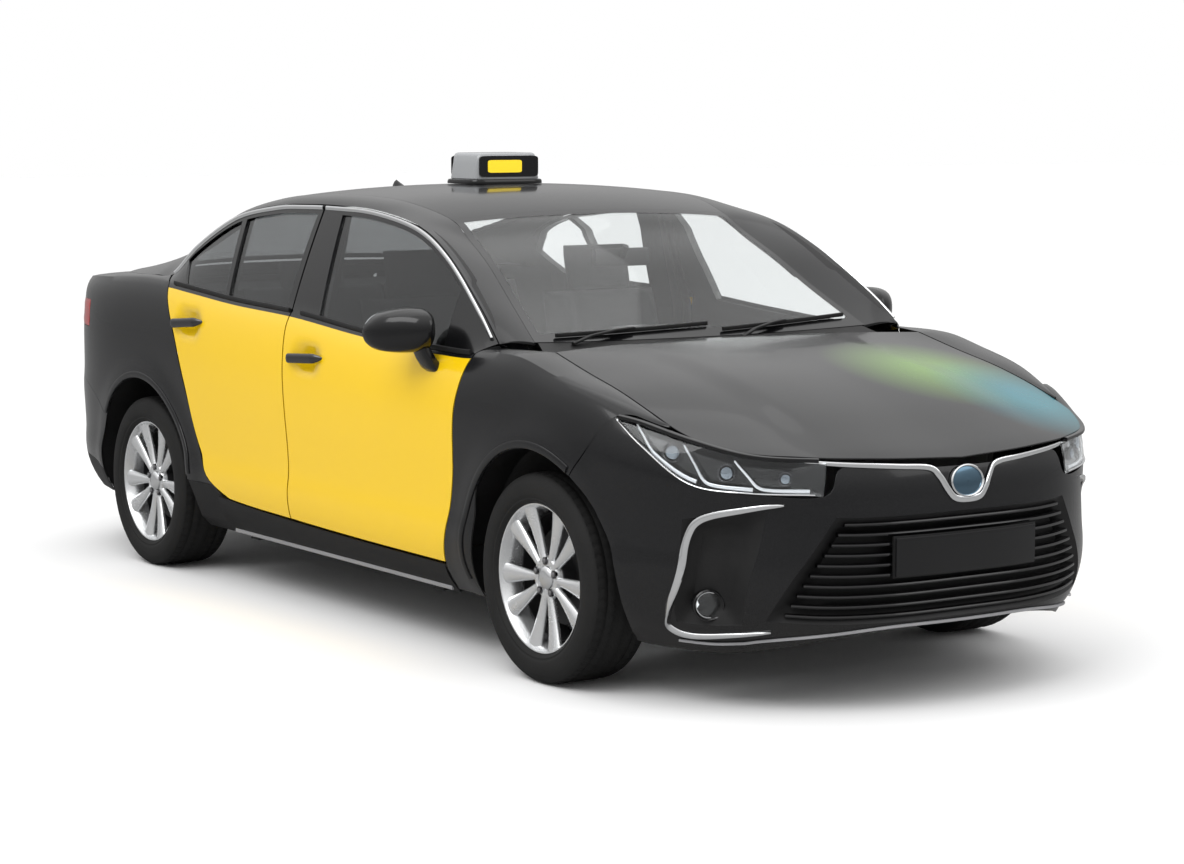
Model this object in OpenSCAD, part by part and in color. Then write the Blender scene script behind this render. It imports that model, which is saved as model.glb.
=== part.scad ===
// Four-door saloon taxi. Millimetres. X forward, Y to the car's left, Z up, ground at Z = 0.

/* [Overall] */
// Length over the bumpers
car_len = 4630; // [4500:10:4760]
// Width over the bodywork, without mirrors
car_w = 1780; // [1710:5:1850]
// Height of the roof crown above the ground
roof_h = 1440; // [1400:5:1500]
// Share of the length that lies between the axles
axle_share = 0.58315; // [0.57:0.00005:0.595]
// Share of the length that lies ahead of the front axle
nose_share = 0.2041; // [0.2:0.00005:0.208]

/* [Wheels] */
// Tyre radius
tyre_r = 317; // [300:1:325]
// Tyre section width
tyre_w = 225; // [195:5:235]
// Rim lip radius
rim_r = 230; // [215:1:240]
// Tyre outer face to the widest body line
tyre_inset = 20; // [14:1:45]
// Spoke pairs on a wheel
spoke_pairs = 5; // [4:1:6]
// Stub axle radius
stub_r = 24; // [20:1:28]
// Running gap of a stub axle in its hub
stub_gap = 0.05; // [0.02:0.01:0.09]
// Brake disc radius
disc_r = 148; // [130:1:155]
// Room between a tyre and the edge of its arch
arch_gap = 73; // [71:1:80]
// Kingpin inside the wheel's middle plane at hub height
kingpin_in = 107.5; // [101:0.5:117]
// Kingpin lean in degrees
kingpin_lean = 10.5; // [8:0.5:12]

/* [Panels] */
// Sheet thickness of fenders, hood and bumpers
sheet = 4; // [3:0.5:6]
// Depth of a door below the glass
door_t = 95; // [80:1:110]
// Depth of a window frame
frame_t = 34; // [26:1:40]
// Width of a window frame at the top
frame_w = 34; // [26:1:42]
// Shut gap half, each side of a door line
shut = 3.2; // [2.8:0.1:4]
// Seam between fixed panels
seam = 0.3; // [0.2:0.05:0.5]
// Glass thickness
glass_t = 5; // [4:0.5:7]
// Glass set back from the outer skin of a door
glass_in = 9; // [6:0.5:12]

/* [Grille] */
// Slats in the lower grille
slats = 9; // [6:1:11]
// Setting back of the grille behind the bumper skin
grille_in = 22; // [12:1:30]
// Fog lamp radius
fog_r = 46; // [38:1:52]

/* [Roof sign] */
// Width of the sign across the car
sign_w = 280; // [240:5:320]
// Length of the sign along the car
sign_l = 190; // [160:5:220]
// Height of the sign box
sign_h = 92; // [80:1:110]

/* [Cabin] */
// Front seat middle from the car's middle plane
seat_y = 370; // [350:5:390]
// Steering wheel rim radius
helm_r = 185; // [175:1:195]

/* [Hidden] */
$fn = 48;

hw = car_w / 2;
wheelbase = round(car_len * axle_share);
front_over = round(car_len * nose_share);
fa = car_len / 2 - front_over;
ra = fa - wheelbase;
hub_z = tyre_r;
arch_r = tyre_r + arch_gap;
wheel_y = hw - tyre_inset - tyre_w / 2;
kingpin_y = wheel_y - kingpin_in;
nose_n = 2.5;
tail_n = 3.7;

// Pattern car of the tables below: axles, overhangs and half width; the car is this pattern, stretched
fn = 1370;
rn = -1330;
over_f = 945;
over_r = 985;
wn = 890;
pattern_end = fn + over_f;
pattern_h = 1440;
// Stretch along the car between the ends and the arches, which keep their form: columns pattern x, x
arch_zone = 384;
STRETCH = [[-pattern_end, -car_len / 2], [rn - arch_zone, ra - arch_zone], [rn + arch_zone, ra + arch_zone],
    [fn - arch_zone, fa - arch_zone], [fn + arch_zone, fa + arch_zone], [pattern_end, car_len / 2]];
// Height over the arches from which the car stretches with the roof
arch_top = 753;

// Inward set of the side skin below the widest line: columns height, set
SECTION = [[150, 124], [200, 92], [250, 58], [300, 34], [340, 22], [400, 15], [470, 20], [560, 16], [650, 8],
    [740, 3], [800, 3], [860, 8], [910, 16], [950, 28], [975, 42], [985, 50]];
// Set back of the nose and of the tail from the end planes: columns height, set
NOSE = [[150, 70], [200, 48], [240, 22], [300, 6], [420, 0], [520, 4], [600, 12], [680, 26], [740, 52],
    [800, 92], [860, 140], [950, 220]];
TAIL = [[150, 130], [235, 70], [330, 22], [420, 6], [550, 0], [640, 12], [700, 36], [780, 46], [900, 42],
    [960, 38], [1030, 30], [1090, 70]];
// Shoulder line from tail to nose: columns x, height
CREST = [[rn - 950, 1030], [rn - 800, 1042], [rn - 650, 1054], [rn - 380, 1066], [rn, 1076], [rn + 180, 1071],
    [rn + 360, 1059], [rn + 680, 1037], [fn - 1526, 1017], [fn - 1083, 984], [fn - 574, 959], [fn - 379, 960],
    [fn - 300, 967], [fn - 125, 968], [fn + 58, 929], [fn + 247, 886], [fn + 405, 838], [fn + 524, 802],
    [fn + 700, 757]];
// Shut lines of the doors in side view: columns height, x
FRONT_LINE = [[200, fn - 556], [302, fn - 533], [434, fn - 492], [595, fn - 451], [815, fn - 424], [960,
    fn - 375]];
SPLIT_LINE = [[290, fn - 1555], [617, fn - 1547], [905, fn - 1560], [1020, fn - 1567]];
REAR_LINE = [[326, rn + 700], [365, rn + 581], [481, rn + 477], [726, rn + 374], [866, rn + 310],
    [1006, rn + 218], [1071, rn + 178]];
// Lower edge of the doors: columns x, height
DOOR_FOOT = [[rn + 560, 340], [rn + 700, 328], [fn - 1570, 310], [fn - 1079, 299], [fn - 540, 294]];
// Upper edge of the door windows and foot of the rear pillar: columns place, x, y, z
WINDOW = [[0, fn - 320, 787, 990], [1, fn - 467, 767, 1100],
    [2, fn - 711, 730, 1243], [3, fn - 939, 705, 1327],
    [4, fn - 1240, 691, 1369], [5, fn - 1515, 687, 1377],
    [6, rn + 972, 687, 1376], [7, rn + 753, 688, 1366],
    [8, rn + 470, 702, 1322], [9, rn + 233, 743, 1210], [10, rn + 105, 783, 1099],
    [11, rn - 10, 801, 1089], [12, rn - 181, 792, 1085], [13, rn - 371, 749, 1081]];
// Inner edge of the side rail along screen, roof and rear window: columns place, x, y, z
RAIL = [[0, fn - 330, 654, 988], [1, fn - 543, 610, 1104], [2, fn - 716, 580, 1206],
    [3, fn - 865, 561, 1280], [4, fn - 988, 553, 1342],
    [5, fn - 1181, 580, 1389], [6, fn - 1380, 595, 1408],
    [7, rn + 1021, 598, 1411], [8, rn + 722, 593, 1396],
    [9, rn + 471, 583, 1358], [10, rn + 336, 575, 1326],
    [11, rn - 31, 565, 1204], [12, rn - 373, 590, 1097]];
// Place on RAIL that faces each place on WINDOW
RAIL_MATE = [[0, 0], [1, 0.9], [2, 2.05], [3, 3.4], [4, 5.2], [5, 6.45], [6, 7.2], [7, 7.9], [8, 9.05], [9,
    10.4],
    [10, 11.15], [11, 11.45], [12, 11.75], [13, 12]];
// Rise of the roof middle above its edge, and shift of its middle along the car: columns place on RAIL,
// rise, shift
ROOF_CROWN = [[4, 24, 8], [5, 29, 4], [6, 30, 0], [7, 29, 0], [8, 30, -4], [9, 31, -12], [10, 32, -22]];
// Screen middle against its edge: columns place on RAIL, rise, shift
SCREEN_CROWN = [[0, -8, 24], [1, 4, 20], [2, 12, 14], [3, 18, 10], [4, 24, 8]];
// Rear window middle against its edge: columns place on RAIL, rise, shift
BACK_CROWN = [[10, 32, -22], [11, 26, -36], [12, 14, -46]];
// Side edge of the hood: columns x, y, z
HOOD_SIDE = [[fn - 125, 710, 976], [fn + 58, 718, 931], [fn + 247, 726, 888],
    [fn + 405, 730, 842], [fn + 524, 726, 802], [fn + 613, 710, 775]];
// Front edge of the hood: columns share of the half width, x, z
HOOD_NOSE = [[0, fn + 913, 715], [0.415, fn + 883, 727], [0.72, fn + 814, 739], [0.907, fn + 714, 752], [1,
    fn + 613, 775]];
// Front edge of a fender down the lamp: columns place, x, z
LAMP_LINE = [[0, fn + 207, 648], [0.3, fn + 292, 752], [0.55, fn + 352, 828], [1, fn + 505, 808]];
// Foot of a headlamp, also the top of the bumper: columns x, height
LAMP_FOOT = [[fn + 352, 822], [fn + 464, 753], [fn + 610, 655], [fn + 739, 634], [fn + 854, 628]];
// Front bumper columns: angle round the nose at the lip, the grille foot and the grille head
BUMPER_COLS = [[67, 67, 69], [63.5, 63.5, 62.5], [60, 59, 56], [52, 51.5, 47], [45, 44.5, 38], [39.5, 39.3,
    24],
    [26, 26, 16], [13, 13, 8], [0, 0, 0]];
LIP_Z = [[0, 244], [15, 240], [26, 217], [39, 186], [50, 167], [60, 168], [85, 176]];
FOOT_Z = [[0, 264], [26, 264], [39, 274], [45, 260], [60, 258], [85, 258]];
HEAD_Z = [[0, 566], [24, 568], [38, 584], [47, 577], [56, 556], [66, 525], [85, 460]];
// Boot lid rows: columns x and z at the side edge, x and z in the middle, half width
LID_ROWS = [[rn - 410, 1084, rn - 428, 1098, 655], [rn - 560, 1070, rn - 590, 1084, 646], [rn - 720, 1053,
    rn - 765, 1064, 634],
    [rn - 815, 1038, rn - 890, 1048, 616], [rn - 862, 1024, rn - 940, 1034, 602]];
LID_FACE = [985, 890, 800, 712];
// Quarter panel columns: x and z of the foot, or arch angle and -1, then x of the head and place on WINDOW
// or -1
QUARTER_COLS = [[rn + 575, 366, rn + 178, -1], [7.2, -1, rn + 120, 10.2], [32, -1, rn + 40, 10.6], [56, -1,
    rn - 40, 11.2],
    [80, -1, rn - 120, 11.7], [104, -1, rn - 200, 12.1], [128, -1, rn - 290, 12.55], [146, -1, rn - 371, 13],
    [rn - 480, 622, rn - 520, -1], [rn - 640, 668, rn - 640, -1], [rn - 740, 684, rn - 740, -1],
    [rn - 812, 692, rn - 812, -1], [rn - 850, 695, rn - 846, -1], [rn - 875, 697, rn - 865, -1]];
lamp_z0 = 868;
lamp_z1 = 972;

// Slope of a table's column at one of its rows, by the parabola through three rows
function slope(T, i, c) = let (n = len(T) - 1)
    i == 0 ? (T[1][c] - T[0][c]) / (T[1][0] - T[0][0]) :
    i == n ? (T[n][c] - T[n - 1][c]) / (T[n][0] - T[n - 1][0]) :
    let (g = T[i][0] - T[i - 1][0], h = T[i + 1][0] - T[i][0], p = (T[i][c] - T[i - 1][c]) / g,
        q = (T[i + 1][c] - T[i][c]) / h) (p * h + q * g) / (g + h);
// Value of a table's column at a key, on a smooth curve through the rows
function at(T, t, c = 1) = let (i = max(0, min(len(T) - 2, len([for (r = T) if (r[0] <= t) 1]) - 1)),
    h = T[i + 1][0] - T[i][0], u = max(0, min(1, (t - T[i][0]) / h)), m = slope(T, i, c) * h,
    n = slope(T, i + 1, c) * h, a = T[i][c], b = T[i + 1][c])
    a + u * (m + u * (3 * (b - a) - 2 * m - n + u * (2 * (a - b) + m + n)));
function at3(T, t) = [at(T, t, 1), at(T, t, 2), at(T, t, 3)];
function mix(a, b, t) = a + (b - a) * t;
function unit(v) = v / max(1e-9, norm(v));
function clamp(v, a, b) = max(a, min(b, v));
// Places of pattern points on the car
function px(x) = lin(STRETCH, x) + x - clamp(x, -pattern_end, pattern_end);
function py(y) = y * hw / wn;
function pz(z) = z < arch_top ? z : arch_top + (z - arch_top) * (roof_h - arch_top) / (pattern_h - arch_top);
function place(p) = [px(p.x), py(p.y), pz(p.z)];
function profile(P) = [for (p = P) [px(p[0]), pz(p[1])]];
function ell(u, n) = pow(max(0, 1 - pow(clamp(u, 0, 1), n)), 1 / n);

// Half width of the body skin at a station and a height
function set_in(x, z) = at(SECTION, z < 600 ? z : 600 + (z - 600) * 385 / (at(CREST, x) - 600));
function flare(x, z) = let (a = abs(x - fn) < abs(x - rn) ? fn : rn, d = norm([x - a, z - hub_z]))
    z < hub_z - 120 ? 0 : 9 * exp(-pow((d - arch_r - 15) / 55, 2));
function half(x, z) = flare(x, z) + (wn - set_in(x, z)) * (
    x > fn ? ell((x - fn) / (over_f - at(NOSE, z)), nose_n) :
    x < rn ? ell((rn - x) / (over_r - at(TAIL, z)), tail_n) : 1);
function skin(x, z) = [x, half(x, z), z];
// Points of the nose and of the tail at an angle from the middle plane
function nose(t, z) = let (a = over_f - at(NOSE, z), x = fn + a * pow(cos(t), 2 / nose_n))
    [x, sign(t) * ((wn - set_in(min(x, fn + 600), z)) * pow(sin(abs(t)), 2 / nose_n) + flare(x,
        z) * pow(sin(abs(t)), 8)), z];
function tail(t, z) = let (a = over_r - at(TAIL, z), x = rn - a * pow(cos(t), 2 / tail_n))
    [x, sign(t) * ((wn - set_in(x, z)) * pow(sin(abs(t)), 2 / tail_n) + flare(x, z) * pow(sin(abs(t)), 8)),
        z];

// Directions from a skin towards the inside
function dir_low(p) = unit([clamp(p.x, rn - 330, fn + 330) - p.x, clamp(p.y, -450, 450) - p.y, 0]);
function dir_side(p) = [0, -sign(p.y), 0];
function dir_top(p) = unit([0, -p.y / 620 * 0.8, -1]);

// Grid with its border rows and columns moved inwards: g holds first row, last row, first column, last column
function trim(G, g) = let (n = len(G) - 1, m = len(G[0]) - 1)
    [for (i = [0:n]) [for (j = [0:m]) let (p = G[i][j])
        p + (i == 0 ? g[0] * unit(G[1][j] - p) : i == n ? g[1] * unit(G[n - 1][j] - p) : [0, 0, 0])
          + (j == 0 ? g[2] * unit(G[i][1] - p) : j == m ? g[3] * unit(G[i][m - 1] - p) : [0, 0, 0])]];
function sub(G, i0, i1, j0, j1) = [for (i = [i0:i1]) [for (j = [j0:j1]) G[i][j]]];
function push(G, t, d) = [for (r = G) [for (p = r) p + t * d(p)]];
// Patch in side view between four edge lines, on the body skin
function patch(foot, head, first, last, S, V) = [for (v = V) [for (s = S)
    let (q = mix(foot(s), head(s), v) + mix(first(v), last(v), s)
        - mix(mix(foot(0), foot(1), s), mix(head(0), head(1), s), v)) skin(q[0], q[1])]];

// Closed sheet between an outer and an inner grid of pattern points; cells whose mark in M is 0 are left open
module sheet_solid(G, H, M = [], set = true) {
    n = len(G); m = len(G[0]); o = n * m;
    function on(i, j) = i >= 0 && j >= 0 && i < n - 1 && j < m - 1 && (len(M) == 0 || M[i][j] == 1);
    function id(i, j) = i * m + j;
    function wall(a, b) = [[b, a, b + o], [b + o, a, a + o]];
    faces = [for (i = [0:n - 2]) for (j = [0:m - 2]) if (on(i, j))
        let (a = id(i, j), b = id(i, j + 1), c = id(i + 1, j + 1), d = id(i + 1, j))
        each concat([[a, c, b], [a, d, c], [a + o, b + o, c + o], [a + o, c + o, d + o]],
            on(i - 1, j) ? [] : wall(b, a), on(i, j + 1) ? [] : wall(c, b),
            on(i + 1, j) ? [] : wall(d, c), on(i, j - 1) ? [] : wall(a, d))];
    polyhedron([for (r = concat(G, H)) for (p = r) set ? place(p) : p], faces);
}
module both() { children(); mirror([0, 1, 0]) children(); }

// Doors
DOOR_V = [0, 0.1, 0.26, 0.44, 0.6, 0.76, 0.9, 1];
FRONT_BELT = [0, 0.08, 0.16, 0.33, 0.5, 0.67, 0.84, 1];
FRONT_HEAD = [0, 0.75, 1.5, 2.35, 3.1, 3.95, 4.8, 5.36];
REAR_BELT = [0, 0.045, 0.2, 0.36, 0.5, 0.525, 0.7, 0.86, 1];
REAR_HEAD = [5.38, 5.52, 6.2, 6.95, 7.72, 7.84, 8.65, 9.3, 10];
function line_pt(L, z) = [at(L, z), z];
function door_low(first, last, S) = let (
    x0 = at(first, 1000), x1 = at(last, 1050),
    f0 = at(DOOR_FOOT, at(first, 300)), f1 = at(DOOR_FOOT, at(last, 330)),
    c0 = at(CREST, x0), c1 = at(CREST, x1))
    patch(function (s) let (x = mix(at(first, f0), at(last, f1), s)) [x, at(DOOR_FOOT, x)],
        function (s) let (x = mix(at(first, c0), at(last, c1), s)) [x, at(CREST, x)],
        function (v) line_pt(first, mix(f0, c0, v)), function (v) line_pt(last, mix(f1, c1, v)), S, DOOR_V);
function door_grid(first, last, S, W) = let (L = door_low(first, last, S), b = L[len(L) - 1], n = len(S) - 1)
    concat(L, [for (k = [1:3]) [for (j = [0:n]) let (h = at3(WINDOW, W[j]), d = max(0.3,
        1 - frame_w / norm(h - b[j])),
        v = [0, 0.5 * d, d, 1][k]) mix(b[j], h, v) + [0, 22 * v * (1 - v), 0]]]);
function door_depth(i) = i == 0 ? door_t * 0.7 : i < len(DOOR_V) - 2 ? door_t : i == len(DOOR_V) - 2 ?
    door_t * 0.75 : frame_t;
function door_inner(G, cut0, cut1) = let (m = len(G[0]) - 1)
    [for (i = [0:len(G) - 1]) [for (j = [0:m]) let (p = G[i][j], low = i < len(DOOR_V) ? 1 : 0,
        e = j == 0 ? cut0 * low * unit(G[i][1] - p) : j == m ? cut1 * low * unit(G[i][m - 1] - p) : [0, 0, 0])
        p + [e.x, -door_depth(i), i == len(G) - 1 ? -12 : 0]]];
module door(first, last, S, W, open, cut0, cut1) {
    G = trim(door_grid(first, last, S, W), [shut, shut, shut, shut]);
    r = len(DOOR_V) - 1;
    M = [for (i = [0:len(G) - 2]) [for (j = [0:len(G[0]) - 2])
        (i == r || i == r + 1) && len([for (o = open) if (j >= o[0] && j < o[1]) 1]) > 0 ? 0 : 1]];
    sheet_solid(G, door_inner(G, cut0, cut1), M);
}
module door_glass(first, last, S, W, open) {
    G = trim(door_grid(first, last, S, W), [shut, shut, shut, shut]);
    r = len(DOOR_V) - 1;
    for (o = open) {
        P = push(trim(sub(G, r, r + 2, o[0], o[1]), [seam, seam, seam, seam]), glass_in,
            function (p) dir_side(p));
        sheet_solid(P, push(P, glass_t, function (p) dir_side(p)));
    }
}
FRONT_OPEN = [[2, 6]];
REAR_OPEN = [[1, 4], [5, 7]];
module handle(x, z) {
    translate([px(x), py(half(x, z)) - 12, pz(z)]) {
        for (d = [-95, 75]) translate([d, 0, -11]) cube([20, 34, 22]);
        translate([-110, 24, -13]) cube([220, 14, 26]);
    }
}
// Hinges: the pins stand on the body, the barrels on the door
hinge_y = py(wn - 46);
front_hinge_x = px(fn - 545);
rear_hinge_x = px(fn - 1622);
pin_r = 7;
pin_gap = 0.05;
HINGE_Z = [[420, 470], [700, 750]];
module barrels(x, back) for (h = HINGE_Z) translate([x, hinge_y, h[0] + 12]) difference() {
    union() {
        cylinder(r = pin_r + 6, h = 26);
        translate([-back, -9, 0]) cube([back, 16, 26]);
    }
    translate([0, 0, -1]) cylinder(r = pin_r + pin_gap, h = 28);
}
// Room in a door round its pins, open towards the pillar
module pockets(x, d) for (h = HINGE_Z) translate([x - 22, hinge_y - 90, h[0] - 6]) cube([d, 106,
    h[1] - h[0] + 12]);
module door_front() {
    difference() { door(FRONT_LINE, SPLIT_LINE, FRONT_BELT, FRONT_HEAD, FRONT_OPEN, 34,
        42); pockets(front_hinge_x, 160); }
    handle(fn - 1400, 868);
    barrels(front_hinge_x, 40);
}
module door_rear() {
    difference() { door(SPLIT_LINE, REAR_LINE, REAR_BELT, REAR_HEAD, REAR_OPEN, 34,
        30); pockets(rear_hinge_x, 120); }
    handle(rn + 400, 932);
    barrels(rear_hinge_x, 40);
}
module door_front_left() color("gold") door_front();
module door_front_right() color("gold") mirror([0, 1, 0]) door_front();
module door_rear_left() color("gold") door_rear();
module door_rear_right() color("gold") mirror([0, 1, 0]) door_rear();
module glass_front_left() color("dimgray") door_glass(FRONT_LINE, SPLIT_LINE, FRONT_BELT, FRONT_HEAD,
    FRONT_OPEN);
module glass_front_right() color("dimgray") mirror([0, 1, 0]) door_glass(FRONT_LINE, SPLIT_LINE, FRONT_BELT,
    FRONT_HEAD, FRONT_OPEN);
module glass_rear_left() color("dimgray") door_glass(SPLIT_LINE, REAR_LINE, REAR_BELT, REAR_HEAD, REAR_OPEN);
module glass_rear_right() color("dimgray") mirror([0, 1, 0]) door_glass(SPLIT_LINE, REAR_LINE, REAR_BELT,
    REAR_HEAD, REAR_OPEN);

// Sheet solid whose inner grid follows one depth and one direction for each row
module row_sheet(G, t, dirs) sheet_solid(G, [for (i = [0:len(G) - 1]) [for (p = G[i]) p + t * dirs[i](p)]]);
function lin(T, t, c = 1) = let (i = max(0, min(len(T) - 2, len([for (r = T) if (r[0] <= t) 1]) - 1)),
    u = clamp((t - T[i][0]) / (T[i + 1][0] - T[i][0]), 0, 1)) mix(T[i][c], T[i + 1][c], u);
function turn(G) = [for (r = G) [for (j = [len(r) - 1:-1:0]) r[j]]];
low = function (p) dir_low(p);
side = function (p) dir_side(p);
top = function (p) dir_top(p);
down = function (p) [0, 0, -1];
slant = function (p) unit(dir_low(p) + [0, 0, -1]);

// Fenders
arch_leg = 205;
function on_arch(a, d) = [a + arch_r * cos(d), hub_z + arch_r * sin(d)];
leg_deg = 180 + asin((hub_z - arch_leg) / arch_r);
function fender_foot(s) = s < 0.13 ? [mix(at(FRONT_LINE, arch_leg), on_arch(fn, leg_deg)[0], s / 0.13),
    arch_leg] :
    on_arch(fn, mix(leg_deg, 58, (s - 0.13) / 0.87));
function fender_head(s) = let (x = mix(fn - 375, fn + 505, s)) [x, at(CREST, x)];
FENDER_S = [0, 0.13, 0.24, 0.36, 0.48, 0.6, 0.72, 0.86, 1];
function fender_grid() = let (F = patch(function (s) fender_foot(s), function (s) fender_head(s),
        function (v) line_pt(FRONT_LINE, mix(arch_leg, at(CREST, fn - 375), v)),
        function (v) [at(LAMP_LINE, v, 1), at(LAMP_LINE, v, 2)], FENDER_S, [0, 0.1, 0.2, 0.3, 0.55, 0.75,
            0.9, 1]))
    concat(F, [[for (s = FENDER_S) let (x = fender_head(s)[0], k = clamp((x - fn + 375) / 250, 0, 1))
        s == 0 ? [fn - 317, 785, 985] : x < fn - 125 ? [x, mix(798, 715, k), mix(978, 976, k)] :
        [x, lin(HOOD_SIDE, x, 1) + 5, lin(HOOD_SIDE, x, 2)]]]);
module front_fenders() color("dimgray") both()
    row_sheet(turn(trim(fender_grid(), [0, 0, shut, seam])), sheet, [low, low, low, low, low, low, low,
        slant, down]);

// Hood
function hood_side(v) = let (x = mix(fn - 125, fn + 613, v)) [x, at(HOOD_SIDE, x, 1), at(HOOD_SIDE, x, 2)];
function hood_nose(f) = [at(HOOD_NOSE, abs(f), 1), f * HOOD_SIDE[5][1], at(HOOD_NOSE, abs(f), 2)];
function hood_rear(f) = [fn - 235 + 110 * f * f, f * HOOD_SIDE[0][1], 984 - 8 * f * f];
function flip(p, s) = [p.x, p.y * s, p.z];
function hood_pt(f, v) = let (u = (1 + f) / 2, L = hood_side(v), R = flip(L, -1), a = hood_side(0),
    b = hood_side(1))
    mix(hood_rear(f), hood_nose(f), v) + mix(R, L, u)
    - mix(mix(flip(a, -1), a, u), mix(flip(b, -1), b, u), v)
    + [0, 0, (34 + 10 * clamp((0.62 - abs(f)) / 0.12, 0, 1)) * (1 - pow(abs(f), 3)) * pow(sin(180 * clamp(v,
        0, 1)), 0.8)];
HOOD_F = [1, 0.82, 0.64, 0.48, 0.24, 0, -0.24, -0.48, -0.64, -0.82, -1];
HOOD_V = [0, 0.16, 0.34, 0.52, 0.7, 0.86, 1];
hood_t = 20;
hood_hinge = place([fn - 190, 560, 938]);
module hood() color("dimgray") {
    G = trim([for (v = HOOD_V) [for (f = HOOD_F) hood_pt(f, v)]], [1, 3, 1, 1]);
    sheet_solid(G, [for (i = [0:6]) [for (j = [0:10]) G[i][j] - [0, 0, i == 6 || j == 0 || j == 10 ?
        sheet : hood_t]]]);
    for (y = [-1, 1]) translate([hood_hinge[0], y * hood_hinge[1], hood_hinge[2]]) rotate([90, 0,
        0]) difference() {
        union() {
            cylinder(r = 12, h = 16, center = true);
            translate([0, -10, -8]) cube([110, 18, 16]);
            translate([70, -10, -8]) cube([40, 40, 16]);
        }
        cylinder(r = pin_r + pin_gap, h = 20, center = true);
    }
}

// Nose of the car
function nose_t(x, z) = acos(pow(clamp((x - fn) / (over_f - at(NOSE, z)), 0, 1), nose_n / 2));
BUMPER_TOP = concat([for (v = [0, 0.3]) [at(LAMP_LINE, v, 1), at(LAMP_LINE, v, 2)]], [[fn + 352, 828]],
    [for (i = [1:4]) LAMP_FOOT[i]]);
nb = len(BUMPER_COLS);
function bumper_col(k) = k == nb ? let (z = [176, 258, 355, 455, 560, 604, BUMPER_TOP[0][1]])
        [for (q = z) let (x = q == BUMPER_TOP[0][1] ? BUMPER_TOP[0][0] : fn + sqrt(pow(arch_r,
            2) - pow(q - hub_z, 2)))
            nose(nose_t(x, q), q)] :
    let (c = nb - 1 - k, t0 = BUMPER_COLS[c][0], t1 = BUMPER_COLS[c][1], t2 = BUMPER_COLS[c][2],
        z0 = at(LIP_Z, t0), z1 = at(FOOT_Z, t1), z2 = at(HEAD_Z, t2),
        p = c + 1 < len(BUMPER_TOP) ? BUMPER_TOP[c + 1] : [0, [706, 697, 693][c + 1 - len(BUMPER_TOP)]],
        z3 = p[1], t3 = p[0] > 0 ? nose_t(p[0], z3) : [21.5, 11, 0][c + 1 - len(BUMPER_TOP)])
    [nose(t0, z0), nose(t1, z1), nose(mix(t1, t2, 1 / 3), mix(z1, z2, 1 / 3)), nose(mix(t1, t2, 2 / 3),
        mix(z1, z2, 2 / 3)),
        nose(t2, z2), nose(mix(t2, t3, 0.5), mix(z2, z3, 0.5)), nose(t3, z3)];
function bumper_grid() = let (C = [for (k = [-nb:nb]) let (q = bumper_col(abs(k))) [for (p = q) flip(p,
    k < 0 ? -1 : 1)]])
    [for (i = [0:6]) [for (c = C) c[i]]];
// Cells of the bumper that are open: the grille in the middle and a fog lamp pocket on each side
grille_c = 3;
fog_c0 = 4;
fog_c1 = 6;
function bumper_open(i, j) = let (k = j < nb ? nb - 1 - j : j - nb)
    i >= 1 && i <= 3 && (k < grille_c || (k >= fog_c0 && k < fog_c1));
module front_bumper() color("dimgray") {
    G = trim(bumper_grid(), [0, seam / 2, 0, 0]);
    sheet_solid(G, push(G, sheet, low), [for (i = [0:5]) [for (j = [0:2 * nb - 1]) bumper_open(i, j) ? 0 :
        1]]);
}
// Grid with more rows and columns, on the straight lines of the first
function refine(G, a, b) = let (n = len(G) - 1, m = len(G[0]) - 1)
    [for (i = [0:n * a]) [for (j = [0:m * b]) let (p = min(n - 1, floor(i / a)), q = min(m - 1, floor(j / b)),
        u = i / a - p, v = j / b - q) mix(mix(G[p][q], G[p][q + 1], v), mix(G[p + 1][q], G[p + 1][q + 1],
            v), u)]];
function dish(G, edge, deep) = [for (i = [0:len(G) - 1]) [for (j = [0:len(G[0]) - 1])
    G[i][j] + (i == 0 || j == 0 || i == len(G) - 1 || j == len(G[0]) - 1 ? edge : deep) * dir_low(G[i][j])]];
insert_t = 12;
module bumper_inserts() color("black") {
    B = bumper_grid();
    R = refine(trim(sub(B, 1, 4, nb - grille_c, nb + grille_c), [seam, seam, seam, seam]), 1, 2);
    n = 2 * slats + 1;
    L = [for (i = [0:n]) let (q = i / n * 3, p = min(2, floor(q))) [for (j = [0:len(R[0]) - 1]) mix(R[p][j],
        R[p + 1][j], q - p)]];
    D = dish(L, 1, grille_in);
    m = len(L[0]) - 1;
    sheet_solid(D, push(D, insert_t, low), [for (i = [0:n - 1]) [for (j = [0:m - 1])
        i % 2 == 0 || j == 0 || j == m - 1 || j == floor(m / 3) || j == m - 1 - floor(m / 3) ? 1 : 0]]);
    both() difference() {
        F = trim(sub(B, 1, 4, nb + fog_c0, nb + fog_c1), [seam, seam, seam, seam]);
        E = refine(F, 1, 2);
        K = dish(E, 1, 38);
        sheet_solid(K, push(K, 6, low));
        fog_axis() translate([0, 0, -120]) cylinder(r = fog_r + seam, h = 200);
    }
}
fog_t = 51;
fog_z = 312;
module fog_axis() { p = nose(fog_t, fog_z); translate(place(p + 40 * dir_low(p))) rotate([0, 0,
    28]) rotate([0, 90, 0]) children(); }
module fog_lamps() color("silver") both() fog_axis() translate([0, 0, -42]) cylinder(r = fog_r, h = 64);

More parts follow.
